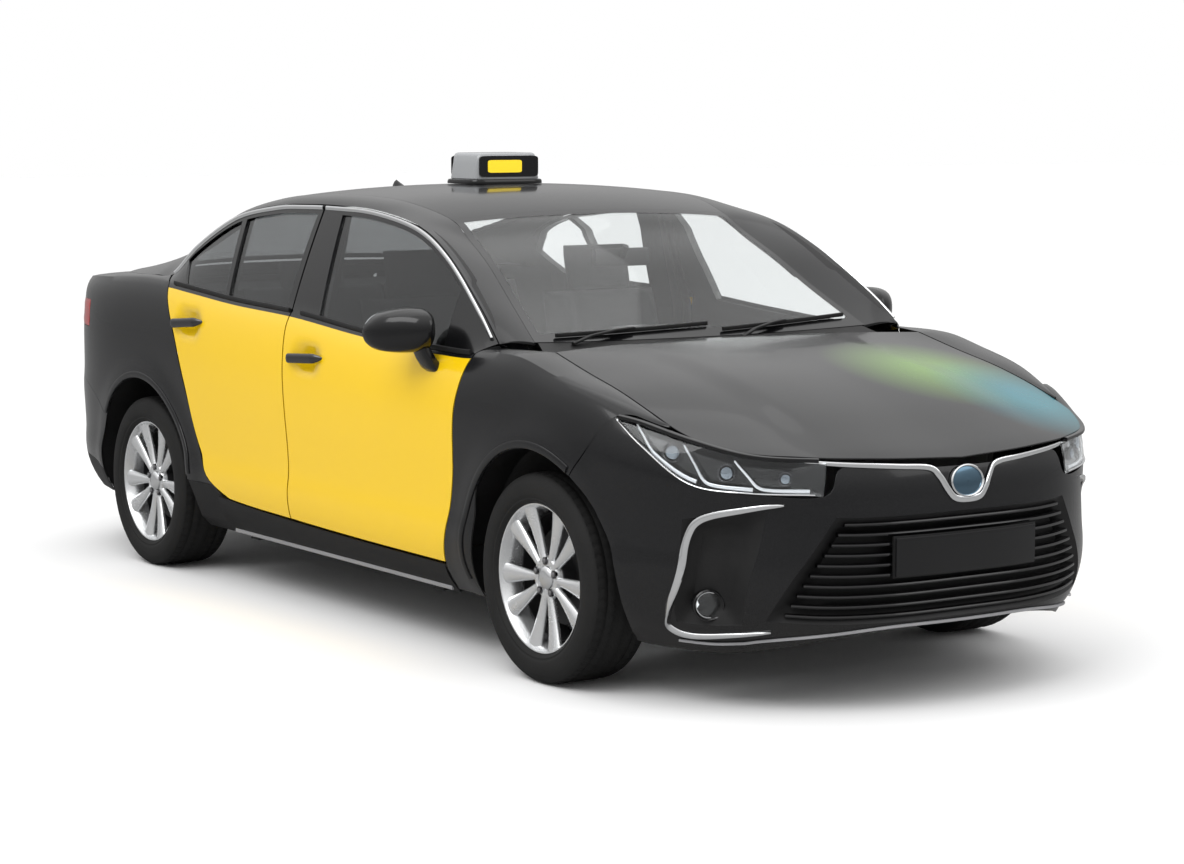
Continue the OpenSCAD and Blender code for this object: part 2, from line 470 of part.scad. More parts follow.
// Headlamps between the bumper top and the hood
function lamp_heads() = let (e = [0, 0, -11]) [skin(fn + 360, 829), skin(fn + 440, 814),
    [fn + 585, lin(HOOD_SIDE, fn + 585, 1), lin(HOOD_SIDE, fn + 585, 2)] + e,
    hood_nose(0.87) + e, hood_nose(0.62) + e];
module front_lamps() color("white") both() {
    H = lamp_heads();
    F = [for (i = [0:4]) let (q = i == 0 ? [fn + 352, 828] : LAMP_FOOT[i], t = nose_t(q[0], q[1])) nose(t,
        q[1])];
    G = trim([for (v = [0, 0.3, 0.65, 1]) [for (i = [0:4]) mix(F[i], H[i],
        v) - 14 * v * (1 - v) * dir_low(F[i])]],
        [1.0, 0, 2, 2]);
    T = turn(G);
    sheet_solid(T, [for (i = [0:3]) [for (q = T[i]) q + 45 * dir_low(q) - [0, 0, 7 * i]]]);
}
plate_w = 520;
plate_x = px(pattern_end - grille_in) + seam;
plate_h = 112;
module front_plate() color("black")
    translate([plate_x, -plate_w / 2, 392]) cube([car_len / 2 + 2 * seam - plate_x, plate_w, plate_h]);

// Rear quarter panels, tail lamps and rear bumper
function quarter_foot(c) = c[1] < 0 ? on_arch(rn, c[0]) : [c[0], c[1]];
function quarter_top(c, k) = k == 0 ? skin(c[2] - 8, at(CREST, c[2]) - 2) + [-16, -10, 4] : c[3] > 0 ?
    at3(WINDOW, c[3]) :
    let (q = [for (r = LID_ROWS) [-r[0], r[4], r[1]]]) [c[2], lin(q, -c[2], 1) + 6, lin(q, -c[2], 2)];
function quarter_col(k) = let (c = QUARTER_COLS[k], f = quarter_foot(c), h = [c[2], at(CREST, c[2])],
    Z = concat(k == 0 ? [f[1], 404, 523, 656] : [for (u = [0, 0.25, 0.5, 0.75]) mix(f[1], lamp_z0, u)],
        [lamp_z0, lamp_z1, h[1]]))
    concat([for (z = Z) skin(k == 0 ? at(REAR_LINE, z) : mix(f[0], h[0], (z - f[1]) / (h[1] - f[1])), z)],
        [quarter_top(c, k)]);
function quarter_grid() = let (C = [for (k = [0:len(QUARTER_COLS) - 1]) quarter_col(k)]) [for (i = [0:7])
    [for (c = C) c[i]]];
lamp_c = 8;
module quarter_panels() color("dimgray") both() {
    G = trim(quarter_grid(), [0.8, seam / 2, shut, 1]);
    m = len(G[0]) - 1;
    sheet_solid(G, [for (i = [0:7]) [for (p = G[i]) p + sheet * (i < 6 ? dir_low(p) : i == 6 ? slant(p) :
        down(p))]],
        [for (i = [0:6]) [for (j = [0:m - 1]) i == 4 && j >= lamp_c ? 0 : 1]]);
}
module tail_lamps() color("red") both() {
    Q = quarter_grid();
    G = trim(sub(Q, 4, 5, lamp_c, len(Q[0]) - 1), [seam, seam, seam, 0]);
    sheet_solid(G, push(G, 40, low));
}
function tail_t(x, z) = acos(pow(clamp((rn - x) / (over_r - at(TAIL, z)), 0, 1), tail_n / 2));
rb_foot = 235;
function rear_col(k) = let (c = QUARTER_COLS[k], f = quarter_foot(c), s = skin(f[0], f[1]))
    [for (u = [0, 0.3, 0.65, 1]) let (z = mix(rb_foot, f[1], u))
        u == 1 ? s : k == 7 ? skin(rn - sqrt(pow(arch_r, 2) - pow(z - hub_z, 2)), z) :
        tail(tail_t(f[0] + (1 - u) * 20, z), z)];
function rear_bumper_grid() = let (n = len(QUARTER_COLS) - 1, L = [for (k = [7:n]) rear_col(k)],
    M = [for (t = [21, 10, 0, -10, -21]) [for (u = [0, 0.3, 0.65, 1]) tail(t, mix(rb_foot, 698, u))]],
    C = concat(L, M, [for (k = [n:-1:7]) [for (p = rear_col(k)) flip(p,
        -1)]])) [for (i = [0:3]) [for (c = C) c[i]]];
module rear_bumper() color("dimgray") {
    G = trim(rear_bumper_grid(), [0, seam, 0, 0]);
    sheet_solid(G, push(G, sheet, low));
}

// Side rails: screen pillar, roof rail and rear pillar in one strip
RAIL_S = concat(FRONT_HEAD, [for (i = [1:8]) REAR_HEAD[i]], [10.6, 11.2, 11.7, 12.1, 12.55, 13]);
rail_t = 24;
function rail_in(s) = at3(RAIL, lin(RAIL_MATE, s));
function rail_grid() = [for (v = [0, 0.5, 1]) [for (s = RAIL_S) mix(at3(WINDOW, s), rail_in(s),
    v) + 40 * v * (1 - v) * [0, 0.7, 0.7]]];
module side_rails() color("black") both()
{
    G = trim(rail_grid(), [seam / 2, seam / 2, 0, 0]);
    D = [side, function (p) unit([0, -sign(p.y), -0.7]), top];
    sheet_solid(G, [for (i = [0:2]) [for (j = [0:len(G[0]) - 1]) G[i][j] + (j < 3 ? 12 :
        rail_t) * D[i](G[i][j])]]);
}

// Roof, screen and rear window
ACROSS = [-1, -0.85, -0.6, -0.3, 0, 0.3, 0.6, 0.85, 1];
function span(places, T) = [for (s = places) let (e = at3(RAIL, s)) [for (f = ACROSS)
    [e.x + at(T, s, 2) * (1 - f * f), e.y * f, e.z + at(T, s, 1) * (1 - pow(abs(f), 2.2))]]];
function mates(a, b) = [for (s = RAIL_S) let (r = lin(RAIL_MATE, s)) if (r > a + 0.01 && r < b - 0.01) r];
function roof_rows() = concat([4], mates(4, 10), [10]);
module roof() color("dimgray") row_sheet(trim(span(roof_rows(), ROOF_CROWN), [seam / 2, seam / 2, seam / 2,
    seam / 2]), 10,
    [for (s = roof_rows()) top]);
module windscreen() color("lightblue") { P = concat([0], mates(0, 4), [4]);
    row_sheet(trim(span(P, SCREEN_CROWN), [2, seam / 2, 1, 1]), glass_t + 1, [for (s = P) top]); }
module rear_window() color("lightblue") { P = concat([10], mates(10, 12), [12]);
    row_sheet(trim(span(P, BACK_CROWN), [seam / 2, 2, 1, 1]), glass_t, [for (s = P) top]); }

// Boot lid
lid_hinge = place([rn - 448, 560, 1050]);
LID_ACROSS = [-1, -0.8, -0.5, -0.2, 0.2, 0.5, 0.8, 1];
function tail_x(y, z) = let (b = wn - at(SECTION, min(z, 985))) rn - (over_r - at(TAIL,
    z)) * ell(abs(y) / b, tail_n);
function lid_grid() = concat([for (r = LID_ROWS) [for (f = LID_ACROSS) [mix(r[2], r[0], f * f), f * (r[4]),
    mix(r[3], r[1], f * f)]]],
    [for (z = LID_FACE) [for (f = LID_ACROSS) let (y = f * (598)) [tail_x(y, z), y, z]]]);
back = function (p) [1, 0, 0];
module boot_lid() color("dimgray") {
    row_sheet(trim(lid_grid(), [2, 0, 0, 0]), 22, [down, down, down, down, function (p) unit([1, 0, -1]),
        back, back, back, back]);
    for (y = [-1, 1]) translate([lid_hinge[0], y * lid_hinge[1], lid_hinge[2]]) rotate([90, 0,
        0]) difference() {
        union() {
            cylinder(r = 12, h = 16, center = true);
            translate([-90, -8, -8]) cube([90, 28, 16]);
        }
        cylinder(r = pin_r + pin_gap, h = 20, center = true);
    }
}

// Underbody: floor, sills, pillars
floor_z = 215;
floor_t = 22;
floor_w = py(690);
boot_w = min(py(605), wheel_y - tyre_w / 2 - 40);
dash_n = fn - 410;
dash_x = px(dash_n);
module side_profile(pts, w) rotate([90, 0, 0]) linear_extrude(2 * w, center = true) polygon(pts);
// Underside of the boot floor, and the bulkhead behind the rear seat
function boot_z(x) = mix(385, 335, clamp((px(rn - 150) - x) / (px(rn - 150) - px(rn - 780)), 0, 1));
back_foot = [rn + 340, 400];
back_head = [rn + 130, 1010];
shelf_x = rn - 490;
shelf_z = 1018;
module floor_pan() color("gray") {
    side_profile(profile([[dash_n - 160, floor_z], [dash_n - 160, floor_z + floor_t], [rn + 760,
        floor_z + floor_t],
        [rn + 640, 330 + floor_t], [rn + 420, 345 + floor_t], [rn + 420, 345], [rn + 650, 330], [rn + 770,
            floor_z]]),
        floor_w);
    side_profile(profile([[dash_n, 905], [dash_n, 420], [dash_n - 152, floor_z], [dash_n - 170, floor_z],
        [dash_n - 170, floor_z + floor_t], [dash_n - floor_t, 425], [dash_n - floor_t, 905]]), boot_w);
    side_profile(profile([[rn + 430, 345], [rn + 200, 400], [rn - 150, 385], [rn - 780, 335], [rn - 860, 335],
        [rn - 860, 640], [rn - 838, 640], [rn - 838, 357], [rn - 780, 357], [rn - 150, 407], [rn + 200, 422],
        [rn + 430, 367]]), boot_w);
    side_profile(profile([back_foot - [16, 20], back_head - [16, 0], [shelf_x, shelf_z - 16], [shelf_x,
        shelf_z],
        back_head + [0, 16], back_foot - [0, 20]]), boot_w);
    translate([px(rn + 590), -70, floor_z - 10]) cube([px(dash_n - 170) - px(rn + 590), 140, 110]);
}
module sill() {
    X = concat([fn - 545 + shut - seam], [for (k = [1:6]) mix(fn - 700, rn + 760, k / 6)],
        [rn + 640, rn + 585, rn + 395]);
    Z = [195, 232, 1];
    G = [for (i = [0:2]) [for (x = X) let (top = x > rn + 600 ? at(DOOR_FOOT, x) - 2 * shut : 366 - seam,
        z = i == 2 ? top : Z[i], xx = x > fn - 560 ? at(FRONT_LINE, z) + shut - 0.9 : x) skin(xx, z)]];
    sheet_solid(G, [for (r = G) [for (p = r) [p.x, (floor_w + seam) * wn / hw, p.z]]]);
}
jack_z = 180;
apron_z = pz(789);
apron_t = 14;
tower_z = pz(800);
strut_y = kingpin_y - (tower_z - hub_z) * tan(kingpin_lean);
apron_y = min(py(452), strut_y - 80 - apron_t);
function cowl_pt(f, v) = let (e = at3(RAIL, 0)) mix(hood_rear(f) + [-42, 0, -46],
    [e.x + 24 * (1 - f * f) - 1.2, e.y * f, e.z - 8 * (1 - pow(abs(f), 2.2)) - 1], v);
module body_frame() color("dimgray") {
    both() {
        sill();
        // hinge pillar, centre pillar and jacking pads
        translate([front_hinge_x - 24, py(650), 240]) cube([120, py(90), pz(800) - 240]);
        for (x = [px(fn - 700), px(rn + 720)]) translate([x - 30, floor_w + 30, jack_z]) cube([60, 60, 40]);
        translate([rear_hinge_x + 112, 0, 0]) rotate([90, 0, -90]) linear_extrude(130)
            polygon([for (q = [[702, 270], [758, 270], [758, 880], [750, 985], [642, 1362], [628, 1362],
                [710, 975],
                [712, 880]]) [py(q[0]), pz(q[1])]]);
        // apron beside the engine and tower over the strut
        translate([dash_x + seam, apron_y, 289 + seam]) cube([px(fn + 560) - dash_x, apron_t,
            apron_z - 289 - seam]);
        difference() {
            translate([fa - 90, apron_y, tower_z - 16]) cube([180, strut_y + 80 - apron_y, 16]);
            kingpin() cylinder(r = 12 + pin_gap, h = 700);
        }
    }
    // cowl under the screen
    row_sheet([for (v = [0, 1]) [for (f = ACROSS) cowl_pt(0.98 * f, v)]], 6, [down, down]);
}

// Engine bay, suspension, wheels
module engine() color("slategray") translate([fa - 150, -py(300), 289 + seam]) cube([440, py(600), 440]);
eye_r = 14;
eye_x = 178;
eye_z = 240;
eye_t = 16;
ball_z = 205;
arm_end = kingpin_y - 120;
ball_y = kingpin_y + (hub_z - ball_z) * tan(kingpin_lean);
strut_len = (tower_z - 20 - hub_z) / cos(kingpin_lean);
ball_len = (hub_z - ball_z) / cos(kingpin_lean);
module front_subframe() color("black") {
    translate([fa - 210, -py(330), 235]) cube([350, py(660), 40]);
    translate([fa - 160, -py(470), 275]) cube([310, py(940), 14]);
    both() {
        translate([fa - 20, py(320), 236]) cube([40, arm_end - py(320), 26]);
        translate([fa - 20, arm_end - 25, 172]) cube([40, 25, 90]);
        translate([fa - 20, arm_end - 25, 172]) cube([40, ball_y - arm_end + 25, 16]);
        translate([fa, ball_y + 2, 172]) cylinder(r = 26, h = 16);
        kingpin() translate([0, 0, -ball_len - 22]) cylinder(r = 11, h = 58);
    }
    translate([fa - 185, 0, 290]) rotate([90, 0, 0]) cylinder(r = 22, h = py(640), center = true);
    // tie-down eye
    difference() {
        translate([fa + 130, -30, eye_z]) cube([76, 60, eye_t]);
        translate([fa + eye_x, 0, eye_z - 1]) cylinder(r = eye_r, h = eye_t + 2);
    }
}
module kingpin() translate([fa, kingpin_y, hub_z]) rotate([kingpin_lean, 0, 0]) children();
module knuckle() color("gray") difference() {
    union() {
        translate([fa - 45, kingpin_y - 60, hub_z - 60]) cube([90, 62, 130]);
        kingpin() translate([0, 0, -ball_len]) cylinder(r = 22, h = ball_len);
        kingpin() cylinder(r = 24, h = 300);
        kingpin() cylinder(r = 17, h = strut_len - 12);
        kingpin() cylinder(r = 12, h = strut_len + 22);
        translate([fa, kingpin_y - 10, hub_z]) rotate([-90, 0, 0]) cylinder(r = stub_r,
            h = wheel_y - kingpin_y + 40);
    }
    kingpin() translate([0, 0, -ball_len - 20]) cylinder(r = 11 + pin_gap, h = 62);
}
module knuckle_left() knuckle();
module knuckle_right() mirror([0, 1, 0]) knuckle();
beam_z = 330;
arm_y = wheel_y - 220;
module rear_axle() color("black") {
    translate([ra + 120, 0, beam_z - 40]) rotate([90, 0, 0]) cylinder(r = 34, h = 2 * arm_y + 20,
        center = true);
    both() {
        translate([ra - 60, arm_y, beam_z - 75]) cube([470, 46, 60]);
        translate([px(rn + 420) - 60, arm_y - 10, beam_z - 75]) cube([60, 66, 345 - seam - beam_z + 75]);
        translate([ra - 60, arm_y, hub_z - 60]) cube([120, 60, 120]);
        translate([ra, arm_y + 40, hub_z]) rotate([-90, 0, 0]) cylinder(r = stub_r, h = 220);
    }
}
// Tyre section from bead to tread: columns radius, half width share
TYRE_SECTION = [[rim_r - 12, 0.36], [rim_r + 4, 0.46], [rim_r + 34, 0.5], [tyre_r - 26, 0.485], [tyre_r - 8,
    0.42], [tyre_r, 0.34]];
module tyre_at(x) color("black") translate([x, wheel_y, hub_z]) rotate([90, 0, 0]) rotate_extrude($fn = 72)
    polygon(concat([for (r = TYRE_SECTION) [r[0], r[1] * tyre_w]], [for (i = [5:-1:0]) [TYRE_SECTION[i][0],
        -TYRE_SECTION[i][1] * tyre_w]]));
module tyre_front_left() tyre_at(fa);
module tyre_front_right() mirror([0, 1, 0]) tyre_at(fa);
module tyre_rear_left() tyre_at(ra);
module tyre_rear_right() mirror([0, 1, 0]) tyre_at(ra);
hub_r = 74;
module wheel_at(x) color("silver") translate([x, wheel_y, hub_z]) rotate([-90, 0, 0]) {
    w = 0.36 * tyre_w - 0.15;
    difference() {
        union() {
            rotate_extrude($fn = 72) polygon([[rim_r - 12.3, -w], [rim_r - 12.3, w], [rim_r - 3.8, w + 12],
                [rim_r - 10, w + 14],
                [rim_r - 22, w + 2], [rim_r - 30, w - 30], [rim_r - 36, -w + 20], [rim_r - 26, -w]]);
            translate([0, 0, w - 62]) cylinder(r = hub_r, h = 56);
            for (k = [0:spoke_pairs - 1], d = [-11, 11]) rotate([0, 0, 360 / spoke_pairs * k + d])
                translate([0, 0, w - 40]) linear_extrude(30)
                    polygon([[hub_r - 8, -10], [rim_r - 18, -14], [rim_r - 18, 14], [hub_r - 8, 10]]);
            translate([0, 0, -20]) cylinder(r = disc_r, h = 26);
            translate([0, 0, -26]) cylinder(r = hub_r - 4, h = w);
        }
        translate([0, 0, -120]) cylinder(r = stub_r + stub_gap, h = 170);
        for (k = [0:spoke_pairs - 1]) rotate([0, 0, 360 / spoke_pairs * (k + 0.5)]) translate([50, 0,
            w - 26]) cylinder(r = 10, h = 40, $fn = 24);
    }
}
module wheel_front_left() wheel_at(fa);
module wheel_front_right() mirror([0, 1, 0]) wheel_at(fa);
module wheel_rear_left() wheel_at(ra);
module wheel_rear_right() mirror([0, 1, 0]) wheel_at(ra);
module exhaust() color("silver") {
    z = boot_z(px(rn - 560));
    translate([px(rn - 560), -py(420), z - 90]) cube([px(rn - 380) - px(rn - 560), py(520), 90 - seam]);
    translate([px(rn - 382), -py(40), z - 50]) rotate([0, 90, 0]) cylinder(r = 24,
        h = px(rn - 82) - px(rn - 382));
    translate([px(rn - 558), -py(380), z - 55]) rotate([0, -90, 0]) cylinder(r = 26,
        h = px(rn - 558) - px(rn - 888));
}
liner_r = arch_r + 14;
module liner(a, y0, y1) translate([a, y1, hub_z]) rotate([90, 0, 0]) linear_extrude(y1 - y0) difference() {
    circle(r = liner_r + 4, $fn = 64);
    circle(r = liner_r, $fn = 64);
    translate([-600, -600]) square([1200, 653]);
}
module arch_liners() color("black") both() {
    difference() {
        liner(fa, apron_y + apron_t + seam, py(775));
        kingpin() cylinder(r = 42, h = 600);
    }
    liner(ra, boot_w + seam, py(775));
}

// Cabin
module dashboard() color("black") {
    side_profile(profile([[dash_n - floor_t - seam, 880], [dash_n - 40, 930], [dash_n - 160, 935],
        [dash_n - 290, 890],
        [dash_n - 320, 800], [dash_n - 270, 640], [dash_n - 140, 560], [dash_n - floor_t - seam, 560]]),
            py(628));
    side_profile(profile([[dash_n - 160, 330], [dash_n - 160, 600], [dash_n - 330, 560], [dash_n - 640, 470],
        [dash_n - 1000, 470], [dash_n - 1000, 330]]), py(95));
    helm_frame() translate([0, 0, -180]) cylinder(r = 26, h = 150);
    helm_frame() translate([0, 0, -40]) cylinder(r = 12, h = 34);
}
helm_p = [px(dash_n - 390), py(seat_y), pz(775)];
module helm_frame() translate(helm_p) rotate([0, -65, 0]) children();
module steering_wheel() color("black") helm_frame() {
    rotate_extrude($fn = 48) translate([helm_r - 15, 0]) circle(r = 15, $fn = 16);
    difference() {
        translate([0, 0, -29.7]) cylinder(r = 52, h = 34);
        translate([0, 0, -40]) cylinder(r = 12 + pin_gap, h = 36);
    }
    for (a = [90, 180, 270]) rotate([0, 0, a]) translate([40, -16, -10]) cube([helm_r - 60, 32, 16]);
}
seat_back = 620 * (pz(1032) - 430) / 602;
rest_h = pz(1220) - pz(1050);
module seat() {
    x = px(dash_n - 990);
    y = py(seat_y);
    translate([x, y - py(250), 330]) cube([px(dash_n - 470) - x, py(500), 150]);
    translate([x, y - py(240), 430]) rotate([0, -14, 0]) cube([110, py(480), seat_back]);
    translate([px(dash_n - 1125), y - py(130), pz(1050)]) rotate([0, -8, 0]) cube([80, py(260), rest_h]);
    for (d = [-70, 70]) translate([px(dash_n - 1092), y + py(d), pz(980)]) rotate([0, -8, 0])
        cylinder(r = 7, h = 120 * rest_h / 170);
    translate([px(dash_n - 960), y - py(200),
        floor_z + floor_t + seam]) cube([px(dash_n - 520) - px(dash_n - 960), py(400), 100]);
}
module front_seats() color("black") both() seat();
module rear_bench() color("black") side_profile(profile([[rn + 432, 345 + floor_t + seam],
    [rn + 640, 345 + floor_t + seam], [rn + 860, 400], [rn + 875, 478], [rn + 840, 500], [rn + 505, 488],
    [rn + 300, 1055], [rn + 200, 1080], back_head + [0.4, 16.3], back_foot + [0.4, 0]]), boot_w - 5);
module cabin_mirror() color("black") for (b = [[-420, -396, 110, 1180, 1242], [-400, -366, 14, 1212, 1250.6]])
    translate([px(dash_n + b[0]), -py(b[2]), pz(b[3])])
        cube([px(dash_n + b[1]) - px(dash_n + b[0]), py(2 * b[2]), pz(b[4]) - pz(b[3])]);

// Roof fittings
sign_x = px(fn - 1610);
roof_seat = 1441.2;
sign_z = pz(roof_seat) + seam;
module sign_base() color("black") translate([sign_x - sign_l / 2 - 12, -sign_w / 2 - 12,
    sign_z]) cube([sign_l + 24, sign_w + 24, 16]);
module sign_box() color("white") translate([sign_x, 0, sign_z + 16 + seam]) rotate([90, 0, 90])
    translate([0, 0, -sign_l / 2]) linear_extrude(sign_l) polygon([[-sign_w / 2, 0], [sign_w / 2, 0],
        [sign_w / 2 - 16, sign_h], [-sign_w / 2 + 16, sign_h]]);
module fin_aerial() color("black") rotate([90, 0, 0]) linear_extrude(24, center = true)
    polygon(profile([[rn + 390, 1378.9], [rn + 560, 1405.9], [rn + 410, 1445.9], [rn + 382, 1443.9]]));
function wiper_row(u, lift) = let (A = span([0], SCREEN_CROWN)[0], B = span([mates(0, 4)[0]],
    SCREEN_CROWN)[0])
    [for (j = [0:8]) mix(place(A[j]), place(B[j]), u) + lift * [0.4, 0, 0.9]];
module wipers() color("black") for (k = [1, 4]) {
    G = [for (u = [0.12, 0.3]) let (r = wiper_row(u, 13)) [for (j = [k:k + 3]) r[j] + [0, k == 4 ? 6 : -6,
        0]]];
    H = [for (u = [0.12, 0.3]) let (r = wiper_row(u, 0.8)) [for (j = [k:k + 3]) r[j] + [0, k == 4 ? 6 : -6,
        0]]];
    sheet_solid(G, H, set = false);
}
module mirror_left() color("black") mirror_shell();
// Door mirror: rear face, inner end, foot height and inner face of the foot
mirror_x = px(fn - 722);
mirror_y = hw - 16;
mirror_z = pz(950);
foot_x = 92;
foot_z = 905;
foot_y = py(half(fn - 580, foot_z)) - 1.9;
// Outlines of the housing from the front and from above, and of the foot: columns out and up, forward and
// out, out and up
MIRROR_FRONT = [[0, 36], [16, 8], [100, 0], [146, 10], [166, 42], [162, 84], [136, 120], [60, 140], [14, 137],
    [0, 112]];
MIRROR_PLAN = [[0, 0], [186, 0], [190, 30], [168, 76], [120, 122], [60, 154], [14, 168], [0, 168]];
MIRROR_FOOT = [[0, 0], [30, 4], [56, 36], [56, 80], [0, 80]];
module mirror_shell() {
    translate([mirror_x, mirror_y, mirror_z]) intersection() {
        rotate([90, 0, 90]) linear_extrude(200) polygon(MIRROR_FRONT);
        linear_extrude(200) polygon(MIRROR_PLAN);
    }
    translate([mirror_x + foot_x, foot_y, pz(foot_z)]) rotate([90, 0, 90]) linear_extrude(84)
        polygon(MIRROR_FOOT);
}
module mirror_right() color("black") mirror([0, 1, 0]) mirror_shell();

// Hinge pins on the body
module pin_post(x, y0) for (h = HINGE_Z) translate([x, hinge_y, 0]) {
    translate([0, 0, h[0]]) cylinder(r = pin_r, h = h[1] - h[0]);
    for (z = [h[0], h[1] - 11]) translate([0, 0, z]) {
        cylinder(r = pin_r + 5, h = 11);
        translate([-8, y0 - hinge_y, 0]) cube([16, hinge_y - y0, 11]);
    }
}
module hinge_pins() color("gray") {
    both() {
        pin_post(front_hinge_x, py(740) + seam);
        pin_post(rear_hinge_x, py(758) + seam);
        // hood and lid pins on their brackets
        translate(hood_hinge) { rotate([90, 0, 0]) cylinder(r = pin_r, h = 44, center = true);
            translate([-9, 9, apron_z + seam - hood_hinge[2]]) cube([18, 13,
                hood_hinge[2] + 6 - apron_z - seam]);
            translate([-9, apron_y - hood_hinge[1], apron_z + seam - hood_hinge[2]])
                cube([18, hood_hinge[1] + 22 - apron_y, 12]); }
        translate(lid_hinge) { rotate([90, 0, 0]) cylinder(r = pin_r, h = 44, center = true);
            translate([-9, 9, pz(shelf_z) + 1.4 - lid_hinge[2]]) cube([18, 13,
                lid_hinge[2] + 5 - pz(shelf_z)]); }
    }
}

floor_pan();
body_frame();
side_rails();
quarter_panels();
roof();
front_fenders();
front_bumper();
bumper_inserts();
front_lamps();
fog_lamps();
front_plate();
rear_bumper();
tail_lamps();
windscreen();
rear_window();
dashboard();
front_seats();
rear_bench();
sign_base();
sign_box();
fin_aerial();
wipers();
engine();
front_subframe();
rear_axle();
exhaust();
arch_liners();
cabin_mirror();
hinge_pins();
door_front_left();
door_front_right();
door_rear_left();
door_rear_right();
glass_front_left();
glass_front_right();
glass_rear_left();
glass_rear_right();
mirror_left();
mirror_right();
hood();
boot_lid();
steering_wheel();
wheel_front_left();
wheel_front_right();
wheel_rear_left();
wheel_rear_right();
tyre_front_left();
tyre_front_right();
tyre_rear_left();
tyre_rear_right();
knuckle_left();
knuckle_right();
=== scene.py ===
"""Saloon taxi with yellow doors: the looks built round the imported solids."""
import math

import bpy
import numpy as np
from mathutils import Matrix, Vector


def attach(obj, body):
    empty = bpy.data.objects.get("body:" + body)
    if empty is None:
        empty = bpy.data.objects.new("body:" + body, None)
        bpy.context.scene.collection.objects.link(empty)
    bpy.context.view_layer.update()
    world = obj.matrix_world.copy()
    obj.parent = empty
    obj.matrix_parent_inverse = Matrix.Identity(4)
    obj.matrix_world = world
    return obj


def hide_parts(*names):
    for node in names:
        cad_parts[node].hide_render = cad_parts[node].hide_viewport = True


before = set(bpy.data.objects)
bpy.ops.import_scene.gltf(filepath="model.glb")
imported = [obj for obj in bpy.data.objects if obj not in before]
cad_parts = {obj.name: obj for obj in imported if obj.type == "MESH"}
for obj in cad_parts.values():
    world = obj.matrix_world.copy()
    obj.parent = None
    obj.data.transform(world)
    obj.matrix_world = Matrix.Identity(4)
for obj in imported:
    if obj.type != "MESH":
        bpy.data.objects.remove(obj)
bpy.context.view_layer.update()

bl_info = {
    "name": "Saloon taxi",
    "version": (1, 0, 0),
    "blender": (4, 5, 0),
    "location": "3D View > Sidebar > Taxi",
    "description": "Builds the panels, glass, lamps, wheels, cabin and stage of a saloon taxi",
    "category": "Object",
}

# Driving sizes of the solids, in millimetres: X forward, Y to the car's left, Z up
HW, FA, RA = 890.0, 1370.0, -1330.0
FRONT_OVER, REAR_OVER = 945.0, 985.0
HUB_Z, WHEEL_Y, TYRE_R, TYRE_W, RIM_R = 317.0, 757.5, 317.0, 225.0, 230.0
ARCH_R, NOSE_N, TAIL_N = 390.0, 2.5, 3.7
SHUT, SHEET = 3.2, 4.0
LAMP_Z0, LAMP_Z1, LAMP_COL = 868.0, 972.0, 8
DASH_X, SEAT_Y = FA - 410, 370.0
# Arch linings: thickness, distance out of the front and rear walls, station of the fender baffles
LINING, FRONT_WALL, REAR_WALL, BAFFLE_X = 3.0, 466.3, 605.3, FA - 358
# Swelling round a wheel arch: height, distance outside the arch's edge, reach, and how far below the hub it ends
FLARE, FLARE_OFF, FLARE_REACH, FLARE_END = 9, 15, 55, 120
# Core that level directions point to: reach beyond the axles and half width; limit forward of the shoulder line
CORE_X, CORE_Y, CREST_END = 330, 450, FA + 600

# Inward set of the side skin below the widest line: columns height, set
SECTION = [[150, 124], [200, 92], [250, 58], [300, 34], [340, 22], [400, 15], [470, 20], [560, 16], [650, 8],
           [740, 3], [800, 3], [860, 8], [910, 16], [950, 28], [975, 42], [985, 50]]
# Heights between which the section is stretched to reach the shoulder line
WAIST_Z, SHOULDER_Z = 600, SECTION[-1][0]
# Set back of the nose and of the tail from the end planes: columns height, set
NOSE = [[150, 70], [200, 48], [240, 22], [300, 6], [420, 0], [520, 4], [600, 12], [680, 26], [740, 52],
        [800, 92], [860, 140], [950, 220]]
TAIL = [[150, 130], [235, 70], [330, 22], [420, 6], [550, 0], [640, 12], [700, 36], [780, 46], [900, 42],
        [960, 38], [1030, 30], [1090, 70]]
# Shoulder line from tail to nose: columns x, height
CREST = [[RA - 950, 1030], [RA - 800, 1042], [RA - 650, 1054], [RA - 380, 1066], [RA, 1076], [RA + 180, 1071],
         [RA + 360, 1059], [RA + 680, 1037], [FA - 1526, 1017], [FA - 1083, 984], [FA - 574, 959],
         [FA - 379, 960], [FA - 300, 967], [FA - 125, 968], [FA + 58, 929], [FA + 247, 886], [FA + 405, 838],
         [FA + 524, 802], [FA + 700, 757]]
# Shut lines of the doors in side view: columns height, x
FRONT_LINE = [[200, FA - 556], [302, FA - 533], [434, FA - 492], [595, FA - 451], [815, FA - 424], [960, FA - 375]]
SPLIT_LINE = [[290, FA - 1555], [617, FA - 1547], [905, FA - 1560], [1020, FA - 1567]]
REAR_LINE = [[326, RA + 700], [365, RA + 581], [481, RA + 477], [726, RA + 374], [866, RA + 310],
             [1006, RA + 218], [1071, RA + 178]]
# Lower edge of the doors: columns x, height
DOOR_FOOT = [[RA + 560, 340], [RA + 700, 328], [FA - 1570, 310], [FA - 1079, 299], [FA - 540, 294]]
# Upper edge of the door windows and foot of the rear pillar: columns place, x, y, z
WINDOW = [[0, FA - 320, 787, 990], [1, FA - 467, 767, 1100], [2, FA - 711, 730, 1243], [3, FA - 939, 705, 1327],
          [4, FA - 1240, 691, 1369], [5, FA - 1515, 687, 1377], [6, RA + 972, 687, 1376], [7, RA + 753, 688, 1366],
          [8, RA + 470, 702, 1322], [9, RA + 233, 743, 1210], [10, RA + 105, 783, 1099], [11, RA - 10, 801, 1089],
          [12, RA - 181, 792, 1085], [13, RA - 371, 749, 1081]]
